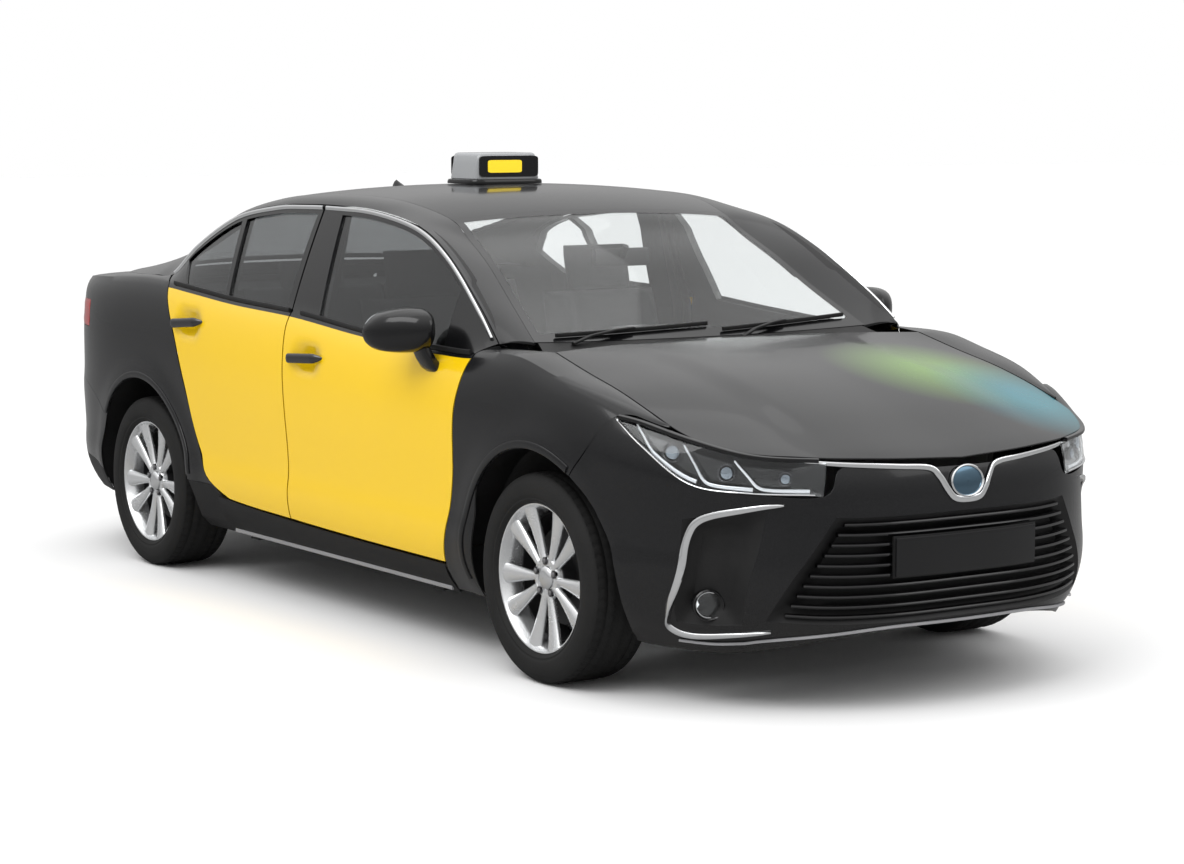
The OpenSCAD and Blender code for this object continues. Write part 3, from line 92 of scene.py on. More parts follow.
# Inner edge of the side rail along screen, roof and rear window: columns place, x, y, z
RAIL = [[0, FA - 330, 654, 988], [1, FA - 543, 610, 1104], [2, FA - 716, 580, 1206], [3, FA - 865, 561, 1280],
        [4, FA - 988, 553, 1342], [5, FA - 1181, 580, 1389], [6, FA - 1380, 595, 1408], [7, RA + 1021, 598, 1411],
        [8, RA + 722, 593, 1396], [9, RA + 471, 583, 1358], [10, RA + 336, 575, 1326], [11, RA - 31, 565, 1204],
        [12, RA - 373, 590, 1097]]
# Place on RAIL that faces each place on WINDOW
RAIL_MATE = [[0, 0], [1, 0.9], [2, 2.05], [3, 3.4], [4, 5.2], [5, 6.45], [6, 7.2], [7, 7.9], [8, 9.05], [9, 10.4],
             [10, 11.15], [11, 11.45], [12, 11.75], [13, 12]]
# Middle of roof, screen and rear window against the edge: columns place on RAIL, rise, shift
ROOF_CROWN = [[4, 24, 8], [5, 29, 4], [6, 30, 0], [7, 29, 0], [8, 30, -4], [9, 31, -12], [10, 32, -22]]
SCREEN_CROWN = [[0, -8, 24], [1, 4, 20], [2, 12, 14], [3, 18, 10], [4, 24, 8]]
BACK_CROWN = [[10, 32, -22], [11, 26, -36], [12, 14, -46]]
# Side edge and front edge of the hood
HOOD_SIDE = [[FA - 125, 710, 976], [FA + 58, 718, 931], [FA + 247, 726, 888], [FA + 405, 730, 842],
             [FA + 524, 726, 802], [FA + 613, 710, 775]]
HOOD_NOSE = [[0, FA + 913, 715], [0.415, FA + 883, 727], [0.72, FA + 814, 739], [0.907, FA + 714, 752],
             [1, FA + 613, 775]]
# Front edge of a fender down the lamp: columns place, x, z; foot of a headlamp: columns x, height
LAMP_LINE = [[0, FA + 207, 648], [0.3, FA + 292, 752], [0.55, FA + 352, 828], [1, FA + 505, 808]]
LAMP_FOOT = [[FA + 352, 822], [FA + 464, 753], [FA + 610, 655], [FA + 739, 634], [FA + 854, 628]]
# Front bumper columns: angle round the nose at the lip, the grille foot and the grille head
BUMPER_COLS = [[67, 67, 69], [63.5, 63.5, 62.5], [60, 59, 56], [52, 51.5, 47], [45, 44.5, 38], [39.5, 39.3, 24],
               [26, 26, 16], [13, 13, 8], [0, 0, 0]]
LIP_Z = [[0, 244], [15, 240], [26, 217], [39, 186], [50, 167], [60, 168], [85, 176]]
FOOT_Z = [[0, 264], [26, 264], [39, 274], [45, 260], [60, 258], [85, 258]]
HEAD_Z = [[0, 566], [24, 568], [38, 584], [47, 577], [56, 556], [66, 525], [85, 460]]
# Boot lid rows: x and z at the side edge, x and z in the middle, half width; then heights of its face
LID_ROWS = [[RA - 410, 1084, RA - 428, 1098, 655], [RA - 560, 1070, RA - 590, 1084, 646],
            [RA - 720, 1053, RA - 765, 1064, 634], [RA - 815, 1038, RA - 890, 1048, 616],
            [RA - 862, 1024, RA - 940, 1034, 602]]
LID_FACE = [985, 890, 800, 712]
# Quarter panel columns: x and z of the foot, or arch angle and -1, then x of the head and place on WINDOW or -1
QUARTER_COLS = [[RA + 575, 366, RA + 178, -1], [7.2, -1, RA + 120, 10.2], [32, -1, RA + 40, 10.6],
                [56, -1, RA - 40, 11.2], [80, -1, RA - 120, 11.7], [104, -1, RA - 200, 12.1],
                [128, -1, RA - 290, 12.55], [146, -1, RA - 371, 13], [RA - 480, 622, RA - 520, -1],
                [RA - 640, 668, RA - 640, -1], [RA - 740, 684, RA - 740, -1], [RA - 812, 692, RA - 812, -1],
                [RA - 850, 695, RA - 846, -1], [RA - 875, 697, RA - 865, -1]]
# The two doors of a side: shut lines, belt shares, places on WINDOW, open columns, inner cuts, handle x and z
DOORS = {
    "front": (FRONT_LINE, SPLIT_LINE, [0, 0.08, 0.16, 0.33, 0.5, 0.67, 0.84, 1],
              [0, 0.75, 1.5, 2.35, 3.1, 3.95, 4.8, 5.36], [(2, 6)], (34, 42), (FA - 1400, 868)),
    "rear": (SPLIT_LINE, REAR_LINE, [0, 0.045, 0.2, 0.36, 0.5, 0.525, 0.7, 0.86, 1],
             [5.38, 5.52, 6.2, 6.95, 7.72, 7.84, 8.65, 9.3, 10], [(1, 4), (5, 7)], (34, 30), (RA + 400, 932)),
}
# The car's directions, and a millimetre in metres
AHEAD, OUT, UP = np.eye(3)
MM = 0.001
# Cushions: points a side, half height of the edge, depth of a stitched line
PILLOW_COUNT, PILLOW_EDGE, SEAM_DEPTH = 28, 5, 7


def mix(a, b, t):
    """Point a share t of the way from a to b."""
    return a + (b - a) * t


def unit(v):
    """Vectors of length one."""
    return v / np.maximum(1e-9, np.linalg.norm(v, axis=-1, keepdims=True))


def hermite(x, y, t):
    """Cubic pieces through the rows of y at keys x; each slope is that of the parabola through three rows."""
    x, y, t = (np.asarray(k, float) for k in (x, y, t))
    tail = (1,) * (y.ndim - 1)
    h = np.diff(x).reshape((-1,) + tail)
    d = np.diff(y, axis=0) / h
    m = np.concatenate([d[:1], (d[:-1] * h[1:] + d[1:] * h[:-1]) / (h[:-1] + h[1:]), d[-1:]])
    i = np.clip(np.searchsorted(x, t, "right") - 1, 0, len(x) - 2)
    u = np.clip((t - x[i]) / np.diff(x)[i], 0, 1).reshape(t.shape + tail)
    a, b, p, q = y[i], y[i + 1], m[i] * h[i], m[i + 1] * h[i]
    return a + u * (p + u * (3 * (b - a) - 2 * p - q + u * (2 * (a - b) + p + q)))


def curve(table, t, col=1):
    """One column of a table at keys t, on the smooth curve through its rows."""
    table = np.asarray(table, float)
    return hermite(table[:, 0], table[:, col], np.asarray(t, float))


def point3(table, t):
    """Columns 1 to 3 of a table at keys t, as points."""
    return np.stack([curve(table, t, c) for c in (1, 2, 3)], -1)


def densify(a, step, breaks):
    """Rows of a with step parts to a row, smooth between the breaks and cornered at them."""
    out = []
    for lo, hi in zip(breaks[:-1], breaks[1:]):
        t = np.linspace(lo, hi, (hi - lo) * step + 1)
        out.append(hermite(np.arange(lo, hi + 1), a[lo:hi + 1], t if not out else t[1:]))
    return np.concatenate(out)


def ell(u, n):
    """Height of a superellipse of power n at share u of its width."""
    return np.maximum(0, 1 - np.clip(u, 0, 1) ** n) ** (1 / n)


def set_in(x, z):
    """Inward set of the side skin, its upper part stretched to the shoulder line."""
    above = (z - WAIST_Z) * (SHOULDER_Z - WAIST_Z) / (curve(CREST, x) - WAIST_Z)
    return curve(SECTION, np.where(z < WAIST_Z, z, WAIST_Z + above))


def flare(x, z):
    """Swelling of the skin round a wheel arch."""
    a = np.where(np.abs(x - FA) < np.abs(x - RA), FA, RA)
    d = np.hypot(x - a, z - HUB_Z)
    return np.where(z < HUB_Z - FLARE_END, 0, FLARE * np.exp(-((d - ARCH_R - FLARE_OFF) / FLARE_REACH) ** 2))


# Ends of the body: axle, overhang, table of the set back, power of the superellipse, way
FRONT, REAR = (FA, FRONT_OVER, NOSE, NOSE_N, 1), (RA, REAR_OVER, TAIL, TAIL_N, -1)


def end_share(end, x, z):
    """Share of an end's length that station x is out from its axle, at height z."""
    axle, over, table, _, way = end
    return way * (x - axle) / (over - curve(table, z))


def half(x, z):
    """Half width of the skin at station x and height z."""
    front, rear = (ell(end_share(end, x, z), end[3]) for end in (FRONT, REAR))
    return flare(x, z) + (HW - set_in(x, z)) * np.where(x > FA, front, np.where(x < RA, rear, 1))


def paired(a, b):
    """Two arrays of numbers of one shape."""
    return np.broadcast_arrays(np.asarray(a, float), np.asarray(b, float))


def skin(x, z):
    """Points of the left side skin."""
    x, z = paired(x, z)
    return np.stack([x, half(x, z), z], -1)


def round_end(end, t, z):
    """Superellipse in plan at angle t from the middle plane, its length cut by the set back at height z."""
    axle, over, table, n, way = end
    t, z = paired(t, z)
    c, s = np.abs(np.cos(np.radians(t))), np.abs(np.sin(np.radians(t)))
    x = axle + way * (over - curve(table, z)) * c ** (2 / n)
    y = (HW - set_in(np.minimum(x, CREST_END), z)) * s ** (2 / n) + flare(x, z) * s ** 8
    return np.stack([x, np.sign(t) * y, z], -1)


def end_angle(end, x, z):
    """Angle of the end's point at station x and height z."""
    return np.degrees(np.arccos(np.clip(end_share(end, x, z), 0, 1) ** (end[3] / 2)))


def on_nose(y, z, out=0.0):
    """Point of the nose in front of (y, z), moved out from the skin."""
    y, z = paired(y, z)
    share = np.clip(np.abs(y) / (HW - set_in(np.full(z.shape, CREST_END), z)), 0, 1)
    p = np.stack([FA + (FRONT_OVER - curve(NOSE, z)) * ell(share, NOSE_N), y, z], -1)
    return p - out * dir_low(p)


def dir_low(p):
    """Direction from the skin towards the inside, level."""
    return unit(np.stack([np.clip(p[..., 0], RA - CORE_X, FA + CORE_X) - p[..., 0],
                          np.clip(p[..., 1], -CORE_Y, CORE_Y) - p[..., 1], 0 * p[..., 2]], -1))


def dir_top(p):
    """Direction down into the car from a roof point."""
    return unit(np.stack([0 * p[..., 0], -p[..., 1] / 620 * 0.8, -1 + 0 * p[..., 2]], -1))


def trim(g, first_row=0.0, last_row=0.0, first_col=0.0, last_col=0.0):
    """Grid whose border rows and columns are moved inwards by these gaps."""
    out = g.copy()
    out[0] += first_row * unit(g[1] - g[0])
    out[-1] += last_row * unit(g[-2] - g[-1])
    out[:, 0] += first_col * unit(g[:, 1] - g[:, 0])
    out[:, -1] += last_col * unit(g[:, -2] - g[:, -1])
    return out


def patch(foot, head, first, last, s, v):
    """Blend in side view of four edge lines: rulings both ways less the corner blend."""
    a, b, c, d = foot(s), head(s), first(v), last(v)
    s, v = s[None, :, None], v[:, None, None]
    corners = mix(mix(a[:1], a[-1:], s), mix(b[:1], b[-1:], s), v)
    return mix(a[None], b[None], v) + mix(c[:, None], d[:, None], s) - corners


def grid_faces(n, m, wrap_rows=False, wrap_cols=False):
    """Quads of a grid of n by m points; the column way crossed with the row way faces out."""
    ids = np.arange(n * m).reshape(n, m)
    if wrap_rows:
        ids = np.concatenate([ids, ids[:1]])
    if wrap_cols:
        ids = np.concatenate([ids, ids[:, :1]], 1)
    return np.stack([ids[:-1, :-1], ids[:-1, 1:], ids[1:, 1:], ids[1:, :-1]], -1).reshape(-1, 4)


def shell(g, h, mask=None, outer=0, inner=0):
    """Closed sheet between an outer grid g and an inner grid h; cells off in mask are left open."""
    n, m = g.shape[:2]
    on = np.ones((n - 1, m - 1), bool) if mask is None else mask
    look = np.broadcast_to(outer, on.shape)
    ids, o, pad = np.arange(n * m).reshape(n, m), n * m, np.pad(on, 1)
    a, b, c, d = ids[:-1, :-1], ids[:-1, 1:], ids[1:, 1:], ids[1:, :-1]
    jobs = [(on, (a, b, c, d), look), (on, (d + o, c + o, b + o, a + o), np.full(on.shape, inner)),
            (on & ~pad[:-2, 1:-1], (b, a, a + o, b + o), look), (on & ~pad[1:-1, 2:], (c, b, b + o, c + o), look),
            (on & ~pad[2:, 1:-1], (d, c, c + o, d + o), look), (on & ~pad[1:-1, :-2], (a, d, d + o, a + o), look)]
    faces = np.concatenate([np.stack([k[sel] for k in ks], -1) for sel, ks, _ in jobs])
    mats = np.concatenate([w[sel] for sel, _, w in jobs])
    return np.concatenate([g.reshape(-1, 3), h.reshape(-1, 3)]), [(faces, mats)]


def plain(faces):
    """Faces with the first look."""
    return faces, np.zeros(len(faces), int)


def circle(count):
    """Cosines and sines of even angles round a circle."""
    a = np.linspace(0, 2 * np.pi, count, endpoint=False)
    return np.cos(a), np.sin(a)


def signed(c, power):
    """Power of the size of c, with the sign of c."""
    return np.sign(c) * np.abs(c) ** power


def sweep(path, section, up=UP, size=None, closed=False):
    """Section carried along a path: its first axis lies along path x up, its second square to both."""
    path = np.asarray(path, float)
    t = np.roll(path, -1, 0) - np.roll(path, 1, 0) if closed else np.gradient(path, axis=0)
    t = unit(t)
    side = unit(np.cross(t, up))
    top = np.cross(side, t)
    scale = np.ones((len(path), 1)) if size is None else np.asarray(size)
    sec = np.asarray(section, float)[None] * scale[:, None]
    g = path[:, None] + sec[..., :1] * side[:, None] + sec[..., 1:] * top[:, None]
    n, k = g.shape[:2]
    faces = [plain(grid_faces(n, k, closed, True)[:, ::-1])]
    if not closed:
        ids = np.arange(n * k).reshape(n, k)
        faces.append(plain(np.stack([ids[0], ids[-1, ::-1]])))
    return g.reshape(-1, 3), faces


def revolve(profile, count):
    """Closed profile of radius and height, taken anticlockwise, turned about the Z axis."""
    profile = np.asarray(profile, float)
    c, s = circle(count)
    g = np.stack([profile[:, :1] * c, profile[:, :1] * s, np.broadcast_to(profile[:, 1:], (len(profile), count))], -1)
    return g.reshape(-1, 3), [plain(grid_faces(len(profile), count, True, True))]


def oval(w, h, count=16, power=2.0):
    """Closed superellipse section of full width w and height h."""
    c, s = circle(count)
    return np.stack([w / 2 * signed(c, 2 / power), h / 2 * signed(s, 2 / power)], -1)


def loft(rings):
    """Closed rings, each anticlockwise seen from the last ring, joined in order and capped."""
    g = np.asarray(rings, float)
    n, k = g.shape[:2]
    ids = np.arange(n * k).reshape(n, k)
    return g.reshape(-1, 3), [plain(grid_faces(n, k, False, True)), plain(np.stack([ids[0, ::-1], ids[-1]]))]


def stack(x, y, rows, count, power):
    """Closed body of superellipse rings round (x, y): columns height, length along the car, width across it."""
    return loft([np.concatenate([oval(a, b, count, power) + [x, y], np.full((count, 1), z)], 1) for z, a, b in rows])


def placed(o, u, v, n):
    """Function that sets points made about the Z axis on the frame o, u, v, n."""
    return lambda p: o + p[:, :1] * u + p[:, 1:2] * v + p[:, 2:] * n


def pillow(o, u, v, n, crown, drop, bolster=0.0, seams=0):
    """Cushion on the frame o, u, v, n: a quartic dome of height crown above and drop below the seam, with
    raised sides and stitched lines."""
    a = np.linspace(-1, 1, PILLOW_COUNT)
    uu, vv = np.meshgrid(a, a, indexing="ij")
    dome = ((1 - uu ** 6) * (1 - vv ** 6)) ** 0.45
    lift = crown * dome + bolster * np.exp(-((np.abs(vv) - 0.78) / 0.16) ** 2) * dome
    if seams:
        lift = lift - SEAM_DEPTH * np.exp(-((np.abs((uu * seams) % 1 - 0.5)) / 0.07) ** 2) * (np.abs(vv) < 0.62)
    o, u, v, n = (np.asarray(k, float) for k in (o, u, v, n))
    base = o + uu[..., None] * u + vv[..., None] * v
    return shell(base + (lift + PILLOW_EDGE)[..., None] * n, base - (drop * dome + PILLOW_EDGE)[..., None] * n)


class Piece:
    """Gathers the surfaces of one piece in millimetres and makes its mesh object."""

    def __init__(self):
        self.verts, self.faces, self.looks, self.count = [], [], [], 0

    def add(self, surface, look=None, move=None):
        """One closed surface, moved by a function of its points; it faces out where the sum over its faces of
        corner . (corner x corner), six times its volume, is above zero, and is turned round where it isn't."""
        v, groups = surface
        v = v if move is None else move(v)
        p = v - v.mean(0)
        six = sum(np.sum(p[f][:, :1] * np.cross(p[f][:, 1:-1], p[f][:, 2:])) for f, _ in groups)
        for f, m in groups:
            self.faces.append((f if six > 0 else f[:, ::-1]) + self.count)
            self.looks.append(m if look is None else np.full(len(f), look))
        self.verts.append(v)
        self.count += len(v)
        return self

    def both(self, surface, look=None, move=None):
        """A surface and its mirror image on the car's other side."""
        v = surface[0] if move is None else move(surface[0])
        self.add((v, surface[1]), look)
        return self.add((v * [1, -1, 1], surface[1]), look)

    def make(self, name, body, finishes, slot, hides=(), bevel=0.0, sharp=38.0):
        """The mesh object, on its body, with its materials and the solids it stands for; its slot is not used."""
        loops = np.concatenate([f.ravel() for f in self.faces])
        totals = np.concatenate([np.full(len(f), f.shape[1]) for f in self.faces])
        used, loops = np.unique(loops, return_inverse=True)
        verts = np.concatenate(self.verts)[used] * MM
        mesh = bpy.data.meshes.new(name)
        mesh.vertices.add(len(verts))
        mesh.vertices.foreach_set("co", verts.astype(np.float32).ravel())
        mesh.loops.add(len(loops))
        mesh.loops.foreach_set("vertex_index", loops.astype(np.int32))
        mesh.polygons.add(len(totals))
        mesh.polygons.foreach_set("loop_start", np.concatenate([[0], np.cumsum(totals)[:-1]]).astype(np.int32))
        for finish in finishes:
            mesh.materials.append(finish)
        mesh.polygons.foreach_set("material_index", np.concatenate(self.looks).astype(np.int32))
        mesh.polygons.foreach_set("use_smooth", np.ones(len(totals), bool))
        mesh.update(calc_edges=True)
        mesh.validate()
        mesh.set_sharp_from_angle(angle=math.radians(sharp))
        obj = bpy.data.objects.new(name, mesh)
        bpy.context.scene.collection.objects.link(obj)
        if bevel:
            mod = obj.modifiers.new("edge", "BEVEL")
            mod.width, mod.segments, mod.limit_method = bevel, 2, "ANGLE"
            mod.angle_limit, mod.harden_normals = math.radians(55), True
        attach(obj, body)
        if hides:
            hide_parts(*hides)
        return obj


# Shader groups and materials
def new_group(name, second, **inputs):
    """Empty shader group with these inputs, a colour and a second output, and the object's coordinates."""
    colour, number = "NodeSocketColor", "NodeSocketFloat"
    tree = bpy.data.node_groups.new(name, "ShaderNodeTree")
    for label, value in inputs.items():
        kind = number if isinstance(value, float) else colour
        tree.interface.new_socket(label, in_out="INPUT", socket_type=kind).default_value = value
    for label, kind in (("Colour", colour), (second, number)):
        tree.interface.new_socket(label, in_out="OUTPUT", socket_type=kind)
    where = tree.nodes.new("ShaderNodeTexCoord").outputs["Object"]
    return tree, tree.nodes.new("NodeGroupInput"), tree.nodes.new("NodeGroupOutput"), where


def feed(tree, socket, value):
    """Gives a socket a number, a colour or the value of another socket."""
    if isinstance(value, bpy.types.NodeSocket):
        tree.links.new(value, socket)
    else:
        socket.default_value = (*value, 1) if isinstance(value, tuple) else value


def texture(tree, kind, where, **values):
    """Texture node at a vector socket."""
    node = tree.nodes.new("ShaderNodeTex" + kind)
    for key, value in dict(values, Vector=where).items():
        feed(tree, node.inputs[key], value)
    return node


def noise(tree, where, scale, detail=4.0):
    """Noise at a vector socket."""
    return texture(tree, "Noise", where, Scale=scale, Detail=detail, Roughness=0.55).outputs["Fac"]


def maths(tree, kind, a, b, clamp=False):
    """Maths node on two sockets or numbers."""
    node = tree.nodes.new("ShaderNodeMath")
    node.operation, node.use_clamp = kind, clamp
    for socket, value in zip(node.inputs, (a, b)):
        feed(tree, socket, value)
    return node.outputs[0]


def blend(tree, share, a, b):
    """Mix of two colours by a share."""
    node = tree.nodes.new("ShaderNodeMix")
    node.data_type = "RGBA"
    for key, value in ((0, share), (6, a), (7, b)):
        feed(tree, node.inputs[key], value)
    return node.outputs[2]


def paint_group():
    """Paint: fine metal flakes and a thin film of road dust that thickens towards the ground."""
    tree, gi, go, where = new_group("paint film", "Roughness", Colour=(0.5, 0.5, 0.5, 1), Flake=0.3, Dust=0.2)
    flake = texture(tree, "Voronoi", where, Scale=900).outputs["Color"]
    spark = maths(tree, "MULTIPLY", maths(tree, "POWER", flake, 3.0), gi.outputs["Flake"])
    lit = blend(tree, spark, gi.outputs["Colour"], (0.75, 0.78, 0.82))
    height = tree.nodes.new("ShaderNodeSeparateXYZ")
    feed(tree, height.inputs[0], where)
    low = maths(tree, "SUBTRACT", 1.0, maths(tree, "MULTIPLY", height.outputs["Z"], 1.9), True)
    cloud = maths(tree, "MULTIPLY", noise(tree, where, 7.0, 6.0), maths(tree, "POWER", low, 2.0))
    dust = maths(tree, "MULTIPLY", cloud, gi.outputs["Dust"], True)
    feed(tree, go.inputs["Colour"], blend(tree, dust, lit, (0.34, 0.31, 0.27)))
    ripple = maths(tree, "MULTIPLY", noise(tree, where, 3.0, 2.0), 0.06)
    film = maths(tree, "ADD", maths(tree, "ADD", ripple, 0.14), maths(tree, "MULTIPLY", dust, 0.7))
    feed(tree, go.inputs["Roughness"], film)
    return tree


def grain_group():
    """Moulded plastic or rubber: fine pebble height and a slow change of shade."""
    tree, gi, go, where = new_group("moulded grain", "Height", Colour=(0.02, 0.02, 0.02, 1), Scale=350.0)
    cells = texture(tree, "Voronoi", where, Scale=gi.outputs["Scale"]).outputs["Distance"]
    cloud = noise(tree, where, 9.0, 5.0)
    share = maths(tree, "MULTIPLY", cloud, 0.35)
    feed(tree, go.inputs["Colour"], blend(tree, share, gi.outputs["Colour"], (0.03, 0.029, 0.028)))
    feed(tree, go.inputs["Height"], cells)
    return tree


def weave_group():
    """Woven cloth: two crossed sets of threads, as a height and a shade."""
    tree, gi, go, where = new_group("woven cloth", "Height", Colour=(0.05, 0.05, 0.05, 1), Threads=260.0)
    waves = []
    for way in ("X", "Y"):
        wave = texture(tree, "Wave", where, Scale=gi.outputs["Threads"])
        wave.bands_direction = way
        waves.append(wave.outputs["Fac"])
    height = maths(tree, "MULTIPLY", waves[0], waves[1])
    worn = maths(tree, "MULTIPLY", noise(tree, where, 12.0), 0.3)
    share = maths(tree, "ADD", maths(tree, "MULTIPLY", height, 0.25), worn)
    feed(tree, go.inputs["Colour"], blend(tree, share, gi.outputs["Colour"], (0.16, 0.16, 0.165)))
    feed(tree, go.inputs["Height"], height)
    return tree


def metal_group():
    """Bright metal: slight cloud in the shade and fine brushed change of roughness."""
    tree, gi, go, where = new_group("bright metal", "Roughness", Colour=(0.8, 0.8, 0.8, 1), Base=0.12, Grime=0.15)
    cloud = noise(tree, where, 14.0, 6.0)
    grime = maths(tree, "MULTIPLY", maths(tree, "POWER", cloud, 2.0), gi.outputs["Grime"])
    feed(tree, go.inputs["Colour"], blend(tree, grime, gi.outputs["Colour"], (0.12, 0.11, 0.1)))
    fine = maths(tree, "MULTIPLY", noise(tree, where, 240.0, 2.0), 0.08)
    rough = maths(tree, "ADD", maths(tree, "ADD", fine, gi.outputs["Base"]), maths(tree, "MULTIPLY", grime, 0.5))
    feed(tree, go.inputs["Roughness"], rough)
    return tree


LOOKS = {}


def look(name, group, colour, bump=0.0, **values):
    """Material whose colour and roughness or bump come from a shared group; values go to the group's sockets of
    that name, and the others to the shader's."""
    mat = bpy.data.materials.new(name)
    mat.use_nodes = True
    tree = mat.node_tree
    bsdf = tree.nodes["Principled BSDF"]
    node = tree.nodes.new("ShaderNodeGroup")
    node.node_tree = bpy.data.node_groups[group]
    node.inputs["Colour"].default_value = (*colour, 1)
    feed(tree, bsdf.inputs["Base Color"], node.outputs["Colour"])
    if "Roughness" in node.outputs and "Roughness" not in values:
        feed(tree, bsdf.inputs["Roughness"], node.outputs["Roughness"])
    if bump and "Height" in node.outputs:
        relief = tree.nodes.new("ShaderNodeBump")
        for key, value in (("Strength", bump), ("Distance", 0.0006), ("Height", node.outputs["Height"])):
            feed(tree, relief.inputs[key], value)
        feed(tree, bsdf.inputs["Normal"], relief.outputs["Normal"])
    for key, value in values.items():
        socket = node.inputs[key] if key in node.inputs else bsdf.inputs[key.replace("_", " ")]
        socket.default_value = value
    LOOKS[name] = mat
    return mat


# Painted reflection on the hood, a green and a blue patch: columns middle and reach in metres, colour
HOOD_REFLECTIONS = (((1.68, 0.40, 0.90), 0.36, (0.16, 0.30, 0.06)), ((1.90, 0.60, 0.80), 0.34, (0.02, 0.20, 0.25)))
# Faces that light passes in one pane
PANE_FACES = 2


def painted_hood_reflection(mat):
    """Painted reflection: soft green and blue patches on the left front corner of the hood, painted into its colour by
    two rounded masks in place.
    """
    tree = mat.node_tree
    bsdf = tree.nodes["Principled BSDF"]
    base = bsdf.inputs["Base Color"].links[0].from_socket
    where = tree.nodes.new("ShaderNodeTexCoord").outputs["Object"]
    for centre, reach, colour in HOOD_REFLECTIONS:
        gap = tree.nodes.new("ShaderNodeVectorMath")
        gap.operation = "DISTANCE"
        gap.inputs[1].default_value = centre
        feed(tree, gap.inputs[0], where)
        mask = maths(tree, "SUBTRACT", 1.0, maths(tree, "DIVIDE", gap.outputs["Value"], reach), True)
        soft = maths(tree, "MULTIPLY", maths(tree, "POWER", mask, 1.1), 1.3, True)
        base = blend(tree, soft, base, colour)
    feed(tree, bsdf.inputs["Base Color"], base)


def far_pane_painted_light(mat, colour):
    """Painted light: the pane's colour made lighter where it is seen through another one, past both faces of the
    nearer pane, so it shows brighter there than the same glass seen directly.
    """
    tree = mat.node_tree
    bsdf = tree.nodes["Principled BSDF"]
    depth = tree.nodes.new("ShaderNodeLightPath").outputs["Transmission Depth"]
    passed = maths(tree, "GREATER_THAN", depth, PANE_FACES - 0.5)
    near = bsdf.inputs["Base Color"].links[0].from_socket
    feed(tree, bsdf.inputs["Base Color"], blend(tree, passed, near, colour))


# Moulded finishes: columns name, colour, grain, relief, roughness, specular level
MOULDED = (("black plastic", (0.004, 0.004, 0.0045), 350, 0.35, 0.5, 0.3),
           ("dark trim", (0.008, 0.008, 0.009), 220, 0.5, 0.62, 0.5),
           ("dash trim", (0.02, 0.02, 0.021), 260, 0.4, 0.55, 0.5),
           ("tyre rubber", (0.006, 0.006, 0.006), 150, 0.5, 0.72, 0.3),
           ("underbody", (0.03, 0.03, 0.03), 90, 0.6, 0.8, 0.5),
           ("grey strip", (0.30, 0.30, 0.31), 300, 0.2, 0.4, 0.5))
# Metal finishes: columns name, colour, roughness, grime, metallic share
METALS = (("chrome", (0.86, 0.87, 0.88), 0.05, 0.12, 1.0), ("dark chrome", (0.10, 0.10, 0.105), 0.14, 0.15, 1.0),
          ("steel", (0.32, 0.32, 0.33), 0.32, 0.5, 0.9), ("cast metal", (0.22, 0.22, 0.22), 0.5, 0.6, 0.8),
          ("badge blue", (0.12, 0.20, 0.27), 0.08, 0.15, 1.0), ("lamp bar", (0.75, 0.77, 0.8), 0.15, 0.05, 0.5),
          ("projector glass", (0.22, 0.25, 0.28), 0.02, 0.05, 1.0), ("mirror glass", (0.75, 0.78, 0.8), 0, 0.02, 1.0))
# Clear finishes: columns name, colour, dust, roughness, refractive index
CLEAR = (("screen glass", (0.96, 0.98, 0.98), 0, 0, 1.32), ("side glass", (0.20, 0.21, 0.215), 0, 0, 1.5),
         ("lamp glass", (0.95, 0.97, 0.98), 0.05, 0.02, 1.35))


def make_looks():
    """Shared groups and every material, by the name of what it covers."""
    c = bpy.context.scene.taxi_colours
    for make in (paint_group, grain_group, weave_group, metal_group):
        make()
    for name, colour, flake, dust, shine, coat, rough in (
            ("body paint", tuple(c.body), 0.012, 0.1, 0.28, 0.2, 0.03),
            ("hood paint", tuple(c.body), 0.012, 0.03, 0.28, 0.2, 0.03),
            ("door paint", tuple(c.door), 0.01, 0.12, 0.4, 0.5, 0.05),
            ("gloss black", (0.004, 0.004, 0.0045), 0, 0.05, 0.4, 0.2, 0.04)):
        look(name, "paint film", colour, Flake=flake, Dust=dust, Specular_IOR_Level=shine, Coat_Weight=coat,
             Coat_Roughness=rough)
    for name, colour, flake, dust in (("red lens", (0.36, 0.006, 0.006), 0.02, 0),
                                      ("sign white", tuple(c.sign), 0, 0.15), ("sign lit", tuple(c.lit), 0, 0)):
        look(name, "paint film", colour, Flake=flake, Dust=dust, Coat_Weight=0.3)
    for name, colour, dust, rough, index in CLEAR:
        look(name, "paint film", colour, Flake=0, Dust=dust, Roughness=rough, Transmission_Weight=1, IOR=index)
    for name, colour, grain, relief, rough, shine in MOULDED:
        look(name, "moulded grain", colour, relief, Scale=grain, Roughness=rough, Specular_IOR_Level=shine)
    for name, colour, rough, grime, metal in METALS + (("alloy", tuple(c.alloy), 0.2, 0.12, 0.85),):
        look(name, "bright metal", colour, Base=rough, Grime=grime, Metallic=metal)
    look("seat cloth", "woven cloth", (0.025, 0.025, 0.027), 0.7, Roughness=0.9, Sheen_Weight=0.25)
    for name, colour, strength in (("sign lit", (*c.lit, 1), 0.55), ("lamp bar", (1, 1, 1, 1), 0.12)):
        sockets = LOOKS[name].node_tree.nodes["Principled BSDF"].inputs
        sockets["Emission Color"].default_value, sockets["Emission Strength"].default_value = colour, strength
    # Painted reflection: green and blue patches on the hood's left front corner
    painted_hood_reflection(LOOKS["hood paint"])
    # Painted light: far side glass made nearly clear where it is seen through another pane
    far_pane_painted_light(LOOKS["side glass"], (0.92, 0.94, 0.94))


def looks(*names):
    """Materials by name."""
    return [LOOKS[n] for n in names]


# Body panels
def parts(lo, hi, n):
    """Even steps from lo to hi."""
    return np.linspace(lo, hi, n + 1)


